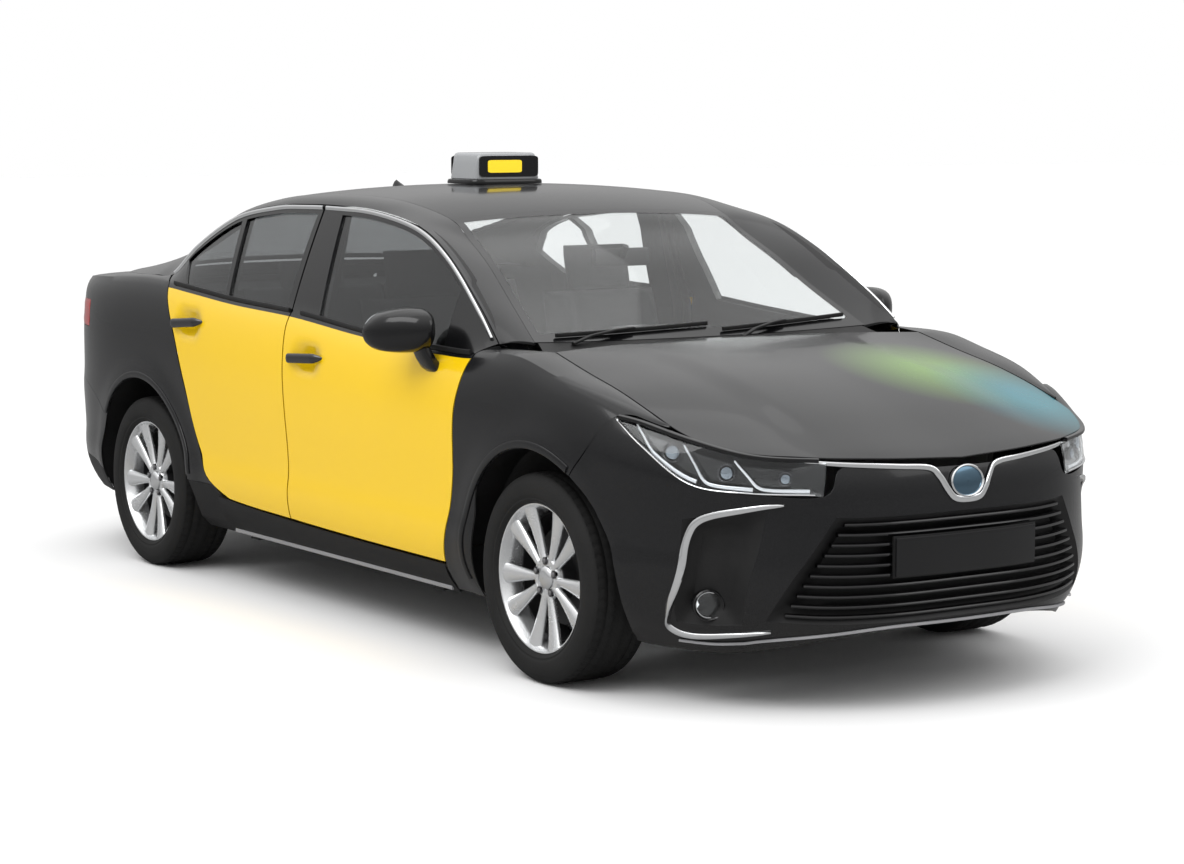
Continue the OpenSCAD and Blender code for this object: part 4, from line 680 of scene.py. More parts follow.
def subdivide(values, n):
    """Values with n even parts between each pair."""
    v = np.asarray(values, float)
    return np.concatenate([[v[0]], mix(v[:-1, None], v[1:, None], np.arange(1, n + 1) / n).ravel()])


DOOR_STEP, DOOR_ROWS, GLASS_ROWS = 8, 44, 8


def along(table, a, b):
    """Edge from station a to station b, at the heights that a table gives."""
    return lambda q: np.stack([mix(a, b, q), curve(table, mix(a, b, q))], -1)


def upright(table, a, b):
    """Edge from height a to height b, at the stations that a table gives."""
    return lambda q: np.stack([curve(table, mix(a, b, q)), mix(a, b, q)], -1)


def door_grid(kind):
    """Outer grid of a door: a blend of its shut lines, foot and belt on the skin, then straight bowed rulings
    from the belt to the window's upper edge. Also the row and column numbers of the window openings."""
    first, last, belt, head, gaps, _, (hx, hz) = DOORS[kind]
    s, v = subdivide(belt, DOOR_STEP), parts(0, 1, DOOR_ROWS)
    x0, x1 = curve(first, 1000), curve(last, 1050)
    f0, f1 = curve(DOOR_FOOT, curve(first, 300)), curve(DOOR_FOOT, curve(last, 330))
    c0, c1 = curve(CREST, x0), curve(CREST, x1)
    q = patch(along(DOOR_FOOT, curve(first, f0), curve(last, f1)), along(CREST, curve(first, c0), curve(last, c1)),
              upright(first, f0, c0), upright(last, f1, c1), s, v)
    low = skin(q[..., 0], q[..., 1])
    cup = np.exp(-((low[..., 0] - hx) / 76) ** 4 - ((low[..., 2] - hz - 4) / 46) ** 4)
    low[..., 1] -= 20 * cup
    b, h = low[-1], point3(WINDOW, np.interp(s, belt, head))
    d = np.maximum(0.3, 1 - 34 / np.linalg.norm(h - b, axis=-1))
    w = np.concatenate([parts(0, 1, GLASS_ROWS)[1:, None] * d, mix(d, 1, parts(0, 1, 3)[1:, None])])
    top = mix(b[None], h[None], w[..., None])
    top[..., 1] += 22 * w * (1 - w)
    return trim(np.concatenate([low, top]), SHUT, SHUT, SHUT, SHUT), [(a * DOOR_STEP, z * DOOR_STEP) for a, z in gaps]


def door_shell(kind):
    """The door as a closed sheet: deep below the belt, thin in the window frame, open at the windows."""
    g, gaps = door_grid(kind)
    cut0, cut1 = DOORS[kind][5]
    n, m = g.shape[:2]
    v = np.concatenate([parts(0, 1, DOOR_ROWS), np.full(n - DOOR_ROWS - 1, 1.1)])
    depth = np.interp(v, [0, 0.1, 0.84, 0.93, 1.0, 1.1], [66, 95, 95, 72, 34, 34])
    run = np.linalg.norm(g - g[:, :1], axis=-1)
    back = np.linalg.norm(g - g[:, -1:], axis=-1)
    shift = -cut0 * np.clip(1 - run / (3 * cut0), 0, 1) + cut1 * np.clip(1 - back / (3 * cut1), 0, 1)
    shift = shift * (v <= 1)[:, None]
    rise = np.concatenate([np.zeros(n - 4), parts(0, -12, 3)])
    h = g + np.stack([shift, np.broadcast_to(-depth[:, None], (n, m)), np.broadcast_to(rise[:, None], (n, m))], -1)
    on = np.ones((n - 1, m - 1), bool)
    for a, b in gaps:
        on[DOOR_ROWS:DOOR_ROWS + GLASS_ROWS, a:b] = False
    outer = np.zeros((n - 1, m - 1), int)
    outer[DOOR_ROWS - 1:] = 1
    return shell(g, h, on, outer, 2), g, gaps


SIDES = (("left", 1, "l"), ("right", -1, "r"))


def build_doors():
    """Four doors with window frames, handles, strips and hinges, and their glass."""
    sizes = bpy.context.scene.taxi_sizes
    for kind in DOORS:
        surface, g, gaps = door_shell(kind)
        hx, hz = DOORS[kind][6]
        reach = sizes.handle / MM / 2
        pull = np.linspace(-reach, reach, 33)
        swell = np.clip((reach - np.abs(pull)) / 34, 0.02, 1) ** 0.5
        rise = 0.06 if kind == "front" else 0.078
        grip = skin(hx + pull, hz + 6 + rise * pull) + (22 * swell - 6)[:, None] * OUT
        bar = sweep(grip, oval(sizes.grip / MM, 20, 20, 2.6), up=OUT, size=np.stack([swell, swell], -1))
        top = g[-2, 1:-1] + [0, 3, 0]
        if kind == "front":
            top = top[1:]
        chrome = sweep(top, oval(9, sizes.strip / MM, 10, 3))
        belt = g[DOOR_ROWS, 2:-3] + [0, 3, 4]
        rubber = sweep(belt, oval(9, 16, 10, 3))
        hinge = FA - 545 if kind == "front" else FA - 1622
        for side, way, letter in SIDES:
            body, move = f"door_{kind[0]}{letter}", placed(np.zeros(3), AHEAD, way * OUT, UP)
            door = Piece().add(surface, move=move)
            for z in (432, 712):
                leaf = sweep([[hinge, HW - 46, z], [hinge, HW - 46, z + 26]], oval(26, 26, 16), up=AHEAD)
                arm = sweep([[hinge - 8, HW - 46, z + 13], [hinge - 60, HW - 50, z + 13]], oval(14, 24, 12, 4))
                door.add(leaf, 3, move).add(arm, 3, move)
            door.make(f"door_{kind}_{side}_panel", body, looks("door paint", "gloss black", "dark trim", "steel"),
                      "door_paint", [f"door_{kind}_{side}"], bevel=0.0012)
            for name, part, finish, slot in (("handle", bar, "dark chrome", "steel"),
                                             ("strip", chrome, "chrome", "steel"),
                                             ("belt_seal", rubber, "black plastic", "black_plastic")):
                Piece().add(part, move=move).make(f"door_{kind}_{side}_{name}", body, looks(finish), slot)
            pane = Piece()
            for a, b in gaps:
                p = g[DOOR_ROWS:DOOR_ROWS + GLASS_ROWS + 1, a:b + 1] - [0, 9, 0]
                pane.add(shell(p, p - [0, 5, 0]), move=move)
            pane.make(f"glass_{kind}_{side}_pane", body, looks("side glass"), "dark_glass", [f"glass_{kind}_{side}"])


def fender_grid():
    """Fender: a blend on the skin between the wheel arch, the shoulder, the door line and the lamp line, with a
    flange from the shoulder to the hood."""
    leg, leg_share = 205.0, 0.13
    leg_deg = 180 + math.degrees(math.asin((HUB_Z - leg) / ARCH_R))
    leg_x = FA + ARCH_R * math.cos(math.radians(leg_deg))
    door_x, hood_x, lamp_x = FA - 375, FA - 125, FA + 505

    def foot(s):
        """Level foot of the leg behind the wheel, then the circle of the wheel arch."""
        a = np.radians(mix(leg_deg, 58, np.clip((s - leg_share) / (1 - leg_share), 0, 1)))
        x = np.where(s < leg_share, mix(curve(FRONT_LINE, leg), leg_x, s / leg_share), FA + ARCH_R * np.cos(a))
        return np.stack([x, np.where(s < leg_share, leg, HUB_Z + ARCH_R * np.sin(a))], -1)

    head, first = along(CREST, door_x, lamp_x), upright(FRONT_LINE, leg, curve(CREST, door_x))
    s = np.concatenate([parts(0, leg_share, 5), parts(leg_share, 1, 46)[1:]])
    v = parts(0, 1, 36)
    q = patch(foot, head, first, lambda k: np.stack([curve(LAMP_LINE, k, 1), curve(LAMP_LINE, k, 2)], -1), s, v)
    low = skin(q[..., 0], q[..., 1])
    x = head(s)[:, 0]
    k = np.clip((x - door_x) / (hood_x - door_x), 0, 1)
    inner = np.stack([x, np.where(x < hood_x, mix(798, 715, k), curve(HOOD_SIDE, x, 1) + 5),
                      np.where(x < hood_x, mix(978, 976, k), curve(HOOD_SIDE, x, 2))], -1)
    inner[0] = [FA - 317, 785, 985]
    w = parts(0, 1, 5)[1:, None, None]
    flange = mix(low[-1], inner, w) + UP * 5 * w * (1 - w) * 4
    return trim(np.concatenate([low, flange]), 0, 0, SHUT, 0.3)


def arch_lip(axle, first, last):
    """Flat lip round a wheel arch: a low section carried along the arch's circle on the skin."""
    a = np.radians(parts(first, last, 60))
    r = ARCH_R + 13
    line = skin(axle + r * np.cos(a), HUB_Z + r * np.sin(a)) + [0, 1.5, 0]
    return sweep(line, oval(24, 7, 12, 3), up=OUT)


def arch_lining(axle, first, last, line, gap):
    """Lining of a wheel arch: a bent line of radius and distance out, turned about the axle between two angles and
    thickened away from the wheel; every row stays a gap inside the skin, and one with no distance follows it."""
    a = np.radians(parts(first, last, max(6, int((last - first) / 4))))
    r = np.array([row[0] for row in line])
    edge = half(axle + r[0] * np.cos(a), HUB_Z + r[0] * np.sin(a)) - gap
    y = np.array([edge if row[1] is None else np.minimum(edge, row[1]) for row in line])
    way = unit(np.gradient(np.stack([r, y.mean(1)], -1), axis=0))

    def turned(radius, out):
        """The line of radius and distance out, turned about the axle."""
        return np.stack([axle + radius[:, None] * np.cos(a), out, HUB_Z + radius[:, None] * np.sin(a)], -1)
    return shell(turned(r, y), turned(r - LINING * way[:, 1], y + LINING * way[:, :1]))


def build_linings():
    """Dark linings of the four wheel arches, from the lip in to a wall beside the frame, and the ribbed baffles
    that close the fenders in front of the doors."""
    rim, drum = ARCH_R + 10, [ARCH_R + 6, None]

    def walled(inner, foot):
        """Bent line from the rim of the arch over to its inner wall and down to a foot."""
        return [[rim, inner + 40], [rim - 6, inner + 16], [rim - 24, inner + 6], [foot, inner + 6]]
    front, rear = walled(FRONT_WALL, 215), walled(REAR_WALL, 60)
    linings = Piece().both(arch_lining(FA, 7, 173, [drum, [rim, 770]], 14))
    for first, last in ((-16, 6.6), (173.4, 196)):
        linings.both(arch_lining(FA, first, last, [drum, [rim, 770]] + front, 14))
    linings.both(arch_lining(RA, 8, 191, [drum, [rim, 770]] + rear, 9))
    linings.both(arch_lining(RA, -16, 7.6, [[rim, 684]] + rear, 9))
    z, v = parts(525, 935, 20)[:, None], parts(0, 1, 24)
    y = mix(FRONT_WALL + 4, half(BAFFLE_X, z) - 14, v)
    baffle = np.stack([BAFFLE_X + 3 * np.sin(3 * np.pi * v) ** 2 + 0 * y, y, z + 0 * y], -1)
    linings.both(shell(baffle, baffle + [LINING, 0, 0]))
    linings.make("arch_linings", "body", looks("black plastic"), "black_plastic")


def build_fenders():
    """Both front fenders."""
    g = fender_grid()[:, ::-1]
    d = dir_low(g)
    d[-5:] = [0, 0, -1]
    Piece().both(shell(g, g + SHEET * d, outer=0, inner=1)).both(arch_lip(FA, 60, 188)).make(
        "fender_skins", "body", looks("body paint", "underbody"), "body_paint", ["front_fenders"], bevel=0.001)


def hood_point(f, v):
    """Hood: a blend of its rear, front and side edges with a crown and a raised middle between two creases."""
    f, v = np.broadcast_arrays(f, v)

    def side(w):
        """Left edge of the hood at a share of its length, from the table of its side."""
        x = mix(FA - 125, FA + 613, w)
        return np.stack([x, curve(HOOD_SIDE, x, 1), curve(HOOD_SIDE, x, 2)], -1)
    flip = np.array([1, -1, 1])
    u, w = ((1 + f) / 2)[..., None], v[..., None]
    front = np.stack([curve(HOOD_NOSE, np.abs(f), 1), f * HOOD_SIDE[5][1], curve(HOOD_NOSE, np.abs(f), 2)], -1)
    rear = np.stack([FA - 235 + 110 * f * f, f * HOOD_SIDE[0][1], 984 - 8 * f * f], -1)
    left, a, b = side(v), side(np.zeros(1)), side(np.ones(1))
    crown = (34 + 10 * np.clip((0.62 - np.abs(f)) / 0.12, 0, 1)) * (1 - np.abs(f) ** 3)
    crown = crown * np.sin(np.pi * np.clip(v, 0, 1)) ** 0.8
    return (mix(rear, front, w) + mix(left * flip, left, u) - mix(mix(a * flip, a, u), mix(b * flip, b, u), w)
            + crown[..., None] * UP)


def build_hood():
    """Hood with its folded edge and two hinge arms."""
    f = np.concatenate([parts(1, 0.64, 10), parts(0.64, 0.48, 5)[1:], parts(0.48, -0.48, 26)[1:],
                        parts(-0.48, -0.64, 5)[1:], parts(-0.64, -1, 10)[1:]])
    v = parts(0, 1, 36)
    g = trim(hood_point(f[None], v[:, None]), 1, 3, 1, 1)
    rim = np.minimum(np.clip((1 - np.abs(f)) / 0.08, 0, 1)[None], np.clip((1 - v) / 0.08, 0, 1)[:, None])
    hood = Piece().add(shell(g, g - UP * (4 + 16 * rim)[..., None], outer=0, inner=1))
    arm = sweep([[FA - 190, 560, 938], [FA - 150, 560, 938], [FA - 110, 560, 942], [FA - 92, 560, 960]],
                oval(14, 18, 12, 4))
    eye = sweep([[FA - 190, 552, 938], [FA - 190, 568, 938]], oval(24, 24, 18), up=UP)
    hood.both(arm, 2).both(eye, 2)
    hood.make("hood_skin", "hood_lid", looks("hood paint", "underbody", "steel"), "body_paint", ["hood"], bevel=0.0012)


BUMPER_STEP = 6


def bumper_angles():
    """Angle and height of the bumper's seven rows by columns, from the right arch round to the left."""
    top = [[curve(LAMP_LINE, v, 1), curve(LAMP_LINE, v, 2)] for v in (0, 0.3)] + [[FA + 352, 828]] + LAMP_FOOT[1:]
    nb = len(BUMPER_COLS)
    cols = []
    for k in range(nb):
        c = nb - 1 - k
        t0, t1, t2 = BUMPER_COLS[c]
        z0, z1, z2 = curve(LIP_Z, t0), curve(FOOT_Z, t1), curve(HEAD_Z, t2)
        if c + 1 < len(top):
            z3 = top[c + 1][1]
            t3 = end_angle(FRONT, top[c + 1][0], z3)
        else:
            t3, z3 = ((21.5, 706), (11, 697), (0, 693))[c + 1 - len(top)]
        inside = [(mix(t1, t2, u), mix(z1, z2, u)) for u in (1 / 3, 2 / 3)]
        cols.append([(t0, z0), (t1, z1), *inside, (t2, z2), (mix(t2, t3, 0.5), mix(z2, z3, 0.5)), (t3, z3)])
    z = np.array([176, 258, 355, 455, 560, 604, 648.0])
    x = np.where(z > 640, FA + 207, FA + np.sqrt(ARCH_R ** 2 - (np.minimum(z, 640) - HUB_Z) ** 2))
    cols.append(np.stack([end_angle(FRONT, x, z), z], -1))
    left = np.array([np.asarray(c, float) for c in cols])
    right = left[:0:-1] * [-1, 1]
    return np.concatenate([right, left]).transpose(1, 0, 2), nb


def bumper_grid():
    """The bumper's rows and columns refined in angle and height, then laid on the nose."""
    a, nb = bumper_angles()
    a = densify(a, BUMPER_STEP, [0, 1, 4, 6])
    last = 2 * nb
    a = densify(a.transpose(1, 0, 2), BUMPER_STEP, [0, 1, 3, 5, last - 5, last - 3, last - 1, last]).transpose(1, 0, 2)
    return round_end(FRONT, a[..., 0], a[..., 1]), nb


def bumper_part(g, nb, k0, k1):
    """Rows of the openings between columns k0 and k1 from the middle, on the left, or across if k0 is below 0."""
    r, c = slice(BUMPER_STEP, 4 * BUMPER_STEP + 1), slice((nb + k0) * BUMPER_STEP, (nb + k1) * BUMPER_STEP + 1)
    return g[r, c]


def dish(g, edge, deep, width=3):
    """Grid sunk behind the skin: by edge at its border, falling to deep over a few points."""
    n, m = g.shape[:2]
    i = np.minimum(np.arange(n), np.arange(n)[::-1])[:, None]
    j = np.minimum(np.arange(m), np.arange(m)[::-1])[None]
    share = np.clip(np.minimum(i, j) / width, 0, 1)
    return g + mix(edge, deep, share)[..., None] * dir_low(g)


def front_skin(g, nb):
    """Bumper skin with its openings, and the insert in them: a slatted grille and two fog pockets."""
    k = np.abs(np.arange(2 * nb) + 0.5 - nb).astype(int)
    opened = np.zeros((6, 2 * nb), bool)
    opened[1:4] = (k < 3) | ((k >= 4) & (k < 6))
    on = ~np.kron(opened, np.ones((BUMPER_STEP, BUMPER_STEP), bool))
    Piece().add(shell(trim(g, 0, 0.2), g + SHEET * dir_low(g), on, 0, 1)).make(
        "bumper_skin_front", "body", looks("body paint", "underbody"), "body_paint", ["front_bumper"], bevel=0.001)
    mouth = bumper_part(g, nb, -3, 3)
    back = dish(mouth, 1, 44)
    insert = Piece().add(shell(back, back + 4 * dir_low(back)))
    for r in np.linspace(1.2, mouth.shape[0] - 2.2, bpy.context.scene.taxi_sizes.slats):
        i = int(r)
        line = mix(mouth[i], mouth[i + 1], r - i)[2:-2]
        line = line + 20 * dir_low(line)
        insert.add(sweep(line, oval(34, 12, 12, 3)), 1)
    pocket = bumper_part(g, nb, 4, 6)
    sunk = dish(pocket, 1, 40)
    insert.both(shell(sunk, sunk + 5 * dir_low(sunk)))
    insert.make("grille_insert", "body", looks("black plastic", "gloss black"), "black_plastic", ["bumper_inserts"])


def fog_lamps():
    """Fog lamps: a ring, a bowl and a lens in each pocket."""
    p = round_end(FRONT, 51, 312)
    out = np.array([math.cos(math.radians(28)), math.sin(math.radians(28)), 0])
    side = np.array([-out[1], out[0], 0])
    centre = p + 24 * dir_low(p)
    fog, fog_frame = Piece(), placed(centre, side, UP, out)
    ring = revolve([[30, -40], [46, -40], [46, 4], [42, 8], [38, 4], [36, -20], [30, -24]], 40)
    bowl = revolve([[1, -34], [30, -34], [37, -2], [35, -2], [28, -30], [1, -30]], 40)
    lens = revolve([[1, -4], [37, -8], [37, -4], [26, 2], [12, 5], [1, 5.5]], 40)
    for part, finish in ((ring, 0), (bowl, 1), (lens, 2)):
        fog.both(part, finish, fog_frame)
    fog.make("fog_lamp_pair", "body", looks("gloss black", "chrome", "lamp glass"), "lamp_glass", ["fog_lamps"])


def front_plate():
    """Blank plate in its rim, bent to the nose."""
    plate = sweep(on_nose(np.linspace(-260, 260, 21), 450.0, 6), oval(10, 112, 20, 8))
    rim = sweep(on_nose(np.linspace(-266, 266, 21), 450.0, 2), oval(8, 120, 20, 8))
    Piece().add(plate).add(rim, 1).make("blank_plate_front", "body", looks("gloss black", "black plastic"),
                                        "black_plastic", ["front_plate"])


def front_strips(g):
    """Bright bar over the grille, a bright hook round each fog pocket and a grey strip along the lip."""
    def bright(points, count, section, out_by, ends):
        """Section carried along a line on the nose, thinner toward both ends by a power of a sine."""
        a = densify(np.asarray(points, float), count, [0, len(points) - 1])
        grow = mix(ends, 1.0, np.sin(np.pi * np.linspace(0, 1, len(a))) ** 0.6)
        return sweep(on_nose(a[:, 0], a[:, 1], out_by), section, size=np.stack([np.ones(len(a)), grow], -1))
    bar = [(-560, 732), (-470, 722), (-382, 714), (-230, 703), (-128, 694), (-96, 668), (-72, 630), (-46, 604),
           (0, 598)]
    bar = bar + [(-y, z) for y, z in bar[-2::-1]]
    hook = [(557, 605), (600, 600), (648, 589), (700, 573), (728, 552), (741, 515), (752, 440), (762, 360), (764, 310),
            (757, 270), (738, 236), (700, 216), (640, 226), (567, 241)]
    trims = Piece().add(bright(bar, 5, oval(9, 19, 12, 3), 5, 0.35))
    trims.both(bright(hook, 5, oval(9, 24, 12, 3), 4, 0.25))
    lip = g[2, 3 * BUMPER_STEP:-3 * BUMPER_STEP]
    trims.add(sweep(lip - 5 * dir_low(lip), oval(8, 9, 10, 3)), 1)
    trims.make("bright_strips_front", "body", looks("chrome", "grey strip"), "steel")


def front_badge():
    """Blank oval badge on the nose."""
    lean, flat = 0.12, 0.76
    badge_frame = placed(on_nose(np.zeros(1), 650.0, 7)[0], OUT, flat * (UP - lean * AHEAD), AHEAD + lean * UP)
    badge = Piece()
    badge.add(revolve([[54, -6], [62, -6], [62, 3], [58, 6], [54, 3]], 48), 0, badge_frame)
    badge.add(revolve([[1, -6], [55, -6], [55, 0], [40, 3], [20, 4.5], [1, 5]], 48), 1, badge_frame)
    badge.make("blank_badge_front", "body", looks("chrome", "badge blue"), "steel")


def build_front_bumper():
    """Front bumper skin, grille with slats, fog pockets and lamps, plate, bright strips and badge."""
    g, nb = bumper_grid()
    front_skin(g, nb)
    fog_lamps()
    front_plate()
    front_strips(g)
    front_badge()


def on_grid(g, row, col):
    """Points of a grid at rows and columns between its own, by straight blends both ways."""
    r, c = np.asarray(row, float), np.asarray(col, float)
    i, j = np.clip(r.astype(int), 0, g.shape[0] - 2), np.clip(c.astype(int), 0, g.shape[1] - 2)
    u, v = (r - i)[:, None], (c - j)[:, None]
    return mix(mix(g[i, j], g[i + 1, j], u), mix(g[i, j + 1], g[i + 1, j + 1], u), v)


def build_headlamps():
    """Headlamps: clear lens over a dark bowl with chrome edges, projectors and a light bar."""
    foot = np.array([round_end(FRONT, end_angle(FRONT, x, z), z) for x, z in [[FA + 352, 828]] + LAMP_FOOT[1:]])
    head = np.array([skin(FA + 360, 829), skin(FA + 440, 814), [FA + 585, curve(HOOD_SIDE, FA + 585, 1),
                                                               curve(HOOD_SIDE, FA + 585, 2)], *[
        [curve(HOOD_NOSE, f, 1), f * HOOD_SIDE[5][1], curve(HOOD_NOSE, f, 2)] for f in (0.87, 0.62)]])
    head[2:] -= [0, 0, 11]
    a, b = densify(foot, 8, [0, 4]), densify(head, 8, [0, 4])
    v = parts(0, 1, 12)[:, None, None]
    g = mix(a, b, v) - 14 * v * (1 - v) * dir_low(a)
    g = trim(g, 1, 0, 2, 2)[:, ::-1]
    lamps = Piece().both(shell(g, g + 3 * dir_low(g)), 0)
    bowl = dish(g + 4 * dir_low(g), 0, 36) - UP * 3
    lamps.both(shell(bowl, bowl + 4 * dir_low(bowl)), 1)
    low, high = g[0, 1:-1] - dir_low(g[0, 1:-1]), g[-1, 1:-1]
    lamps.both(sweep(low + UP * 3, oval(7, 5, 10)), 2)
    lamps.both(sweep(high + UP * 4, oval(26, 14, 12, 3)), 1)
    for col, tall, wide in ((22.5, 10.4, 7.5), (14.0, 10.2, 6.5), (7.0, 10.0, 5.6)):
        hook = densify(np.array([[tall, col + 3.2], [6.0, col + 1.4], [2.6, col], [1.7, col - 1.6],
                                 [1.6, col - wide]]), 6, [0, 4])
        line = on_grid(g, hook[:, 0], hook[:, 1])
        grow = np.linspace(0.5, 1.1, len(line))[:, None]
        lamps.both(sweep(line + 9 * dir_low(line), oval(8, 11, 12, 3), size=grow), 4)
    out = unit(np.array([1.0, 0.45, 0.05]))
    side = unit(np.cross(UP, out))
    top = np.cross(out, side)
    for col, row, r in ((19, 6.2, 27), (11, 5.8, 24), (4, 5.6, 19)):
        c = on_grid(g, [row], [col])[0]
        lamp_frame = placed(c + 20 * dir_low(c), side, top, out)
        ring = revolve([[r - 4, -14], [r, -14], [r + 2, 2], [r - 2, 3]], 32)
        dome = revolve([[1, -10], [r - 4, -10], [r - 4, 0], [r * 0.7, 6], [r * 0.35, 9], [1, 10]], 32)
        lamps.both(ring, 5, lamp_frame).both(dome, 3, lamp_frame)
    lamps.make("headlamp_pair", "body", looks("lamp glass", "gloss black", "chrome", "projector glass", "lamp bar",
                                           "dark chrome"), "lamp_glass", ["front_lamps"])


QUARTER_STEP = 5


def quarter_foot(f, g):
    """Foot of a quarter panel column in side view: on the wheel arch at angle f if g is below 0, else at (f, g)."""
    a = math.radians(f)
    return (RA + ARCH_R * math.cos(a), HUB_Z + ARCH_R * math.sin(a)) if g < 0 else (f, g)


def quarter_grid():
    """Quarter panel: columns from the foot or the wheel arch to the shoulder on the skin, then over to the rear
    pillar or the boot lid."""
    sides, tops = [], []
    lid = np.array([[-r[0], r[4], r[1]] for r in LID_ROWS])
    for k, (f, g, hx, place) in enumerate(QUARTER_COLS):
        fx, fz = quarter_foot(f, g)
        hz = float(curve(CREST, hx))
        z = np.array(([fz, 404, 523, 656] if k == 0 else [mix(fz, LAMP_Z0, u) for u in (0, 0.25, 0.5, 0.75)])
                     + [LAMP_Z0, LAMP_Z1, hz])
        x = curve(REAR_LINE, z) if k == 0 else mix(fx, hx, (z - fz) / (hz - fz))
        sides.append(np.stack([x, z], -1))
        if k == 0:
            tops.append(skin(hx - 8, hz - 2) + [-16, -10, 4])
        elif place > 0:
            tops.append(point3(WINDOW, place))
        else:
            tops.append([hx, np.interp(-hx, lid[:, 0], lid[:, 1]) + 6, np.interp(-hx, lid[:, 0], lid[:, 2])])
    breaks = [0, 1, 7, len(QUARTER_COLS) - 1]
    a = densify(np.array(sides), QUARTER_STEP, breaks)
    a = densify(a.transpose(1, 0, 2), QUARTER_STEP, [0, 4, 5, 6])
    low = skin(a[..., 0], a[..., 1])
    top = densify(np.array(tops), QUARTER_STEP, breaks)
    w = parts(0, 1, 4)[1:, None, None]
    return np.concatenate([low, mix(low[-1], top, w) + UP * 4 * w * (1 - w) * 4])


def build_quarters():
    """Quarter panels with lamp openings, and the tail lamps in them."""
    q = quarter_grid()
    lamp_rows, lamp_cols = 4 * QUARTER_STEP, LAMP_COL * QUARTER_STEP
    g = trim(q, 0.8, 0.2, SHUT, 1)
    d = dir_low(g)
    d[-4:] = [0, 0, -1]
    on = np.ones((g.shape[0] - 1, g.shape[1] - 1), bool)
    on[lamp_rows:lamp_rows + QUARTER_STEP, lamp_cols:] = False
    Piece().both(shell(g, g + SHEET * d, on, 0, 1)).both(arch_lip(RA, 10, 144)).make(
        "quarter_skins", "body", looks("body paint", "underbody"), "body_paint", ["quarter_panels"], bevel=0.001)
    lamp = trim(q[lamp_rows:lamp_rows + QUARTER_STEP + 1, lamp_cols:], 1, 1, 1, 0)
    ribs = 2.0 * np.sin(np.linspace(0, 3 * np.pi, len(lamp))) ** 2
    lamp = lamp - ribs[:, None, None] * dir_low(lamp)
    Piece().both(shell(lamp, lamp + 36 * dir_low(lamp))).make(
        "tail_lamp_pair", "body", looks("red lens"), "red_lens", ["tail_lamps"], bevel=0.002)


TAIL_STEP = 5


def rear_bumper():
    """Rear bumper with its lower valance."""
    cols, foot_z, shares, arch_col = [], 235.0, (0, 0.3, 0.65, 1), 7
    for k in range(arch_col, len(QUARTER_COLS)):
        fx, fz = quarter_foot(*QUARTER_COLS[k][:2])
        col = []
        for u in shares:
            z = mix(foot_z, fz, u)
            x = RA - math.sqrt(ARCH_R ** 2 - (z - HUB_Z) ** 2) if k == arch_col else fx + (1 - u) * 20
            col.append((float(end_angle(REAR, x, z)), z))
        cols.append(col)
    left = np.array(cols + [[(t, mix(foot_z, 698, u)) for u in shares] for t in (21, 10, 0)])
    full = np.concatenate([left, left[-2::-1] * [-1, 1]])
    a = densify(full, TAIL_STEP, [0, 6, len(full) - 7, len(full) - 1])
    a = densify(a.transpose(1, 0, 2), TAIL_STEP, [0, 1, 3])
    g = trim(round_end(REAR, a[..., 0], a[..., 1]), 0, 0.3)
    look_of = np.zeros((g.shape[0] - 1, g.shape[1] - 1), int)
    look_of[:TAIL_STEP] = 2
    Piece().add(shell(g, g + SHEET * dir_low(g), None, look_of, 1)).make(
        "bumper_skin_rear", "body", looks("body paint", "underbody", "black plastic"), "body_paint", ["rear_bumper"],
        bevel=0.001)


def boot_lid():
    """Boot lid with its hinge arms, blank plate and bright strip."""
    f = parts(-1, 1, 48)
    rows = [np.stack([mix(r[2], r[0], f * f), f * r[4], mix(r[3], r[1], f * f)], -1) for r in LID_ROWS]
    for z in LID_FACE:
        b = HW - curve(SECTION, min(z, SHOULDER_Z))
        y = f * 598
        rows.append(np.stack([RA - (REAR_OVER - curve(TAIL, z)) * ell(np.abs(y) / b, TAIL_N), y, z + 0 * y], -1))
    g = trim(densify(np.array(rows), TAIL_STEP, [0, 4, 8]), 2)
    d = np.zeros((len(g), 1, 3))
    turn = np.clip((np.arange(len(g)) - 18) / 5, 0, 1)
    d[:, 0, 0], d[:, 0, 2] = turn, turn - 1
    lid = Piece().add(shell(g, g + 22 * unit(d), outer=0, inner=1))
    arm = sweep([[RA - 448, 560, 1050], [RA - 490, 560, 1052], [RA - 535, 560, 1058]], oval(16, 20, 12, 4))
    eye = sweep([[RA - 448, 552, 1050], [RA - 448, 568, 1050]], oval(24, 24, 18))
    lid.both(arm, 2).both(eye, 2)
    lid.make("boot_lid_skin", "boot", looks("body paint", "underbody", "steel"), "body_paint", ["boot_lid"],
             bevel=0.0012)
    for name, reach, count, z, b, section, finish, slot in (
            ("blank_plate_rear", 255, 21, 790, 880, oval(8, 112, 20, 8), "gloss black", "black_plastic"),
            ("boot_lid_strip", 330, 31, 872, 870, oval(12, 20, 12, 3), "chrome", "steel")):
        y = np.linspace(-reach, reach, count)
        x = RA - (REAR_OVER - curve(TAIL, z)) * ell(np.abs(y) / b, TAIL_N)
        Piece().add(sweep(np.stack([x - 3, y, z + 0 * y], -1), section)).make(name, "boot", looks(finish), slot)


def build_tail():
    """Rear bumper and boot lid."""
    rear_bumper()
    boot_lid()


def span(places, table, across):
    """Rows across the car between the side rails, raised and shifted in the middle by the table."""
    e, f = point3(RAIL, places)[:, None], across[None]
    return np.stack([e[..., 0] + curve(table, places, 2)[:, None] * (1 - f * f), e[..., 1] * f,
                     e[..., 2] + curve(table, places, 1)[:, None] * (1 - np.abs(f) ** 2.2)], -1)


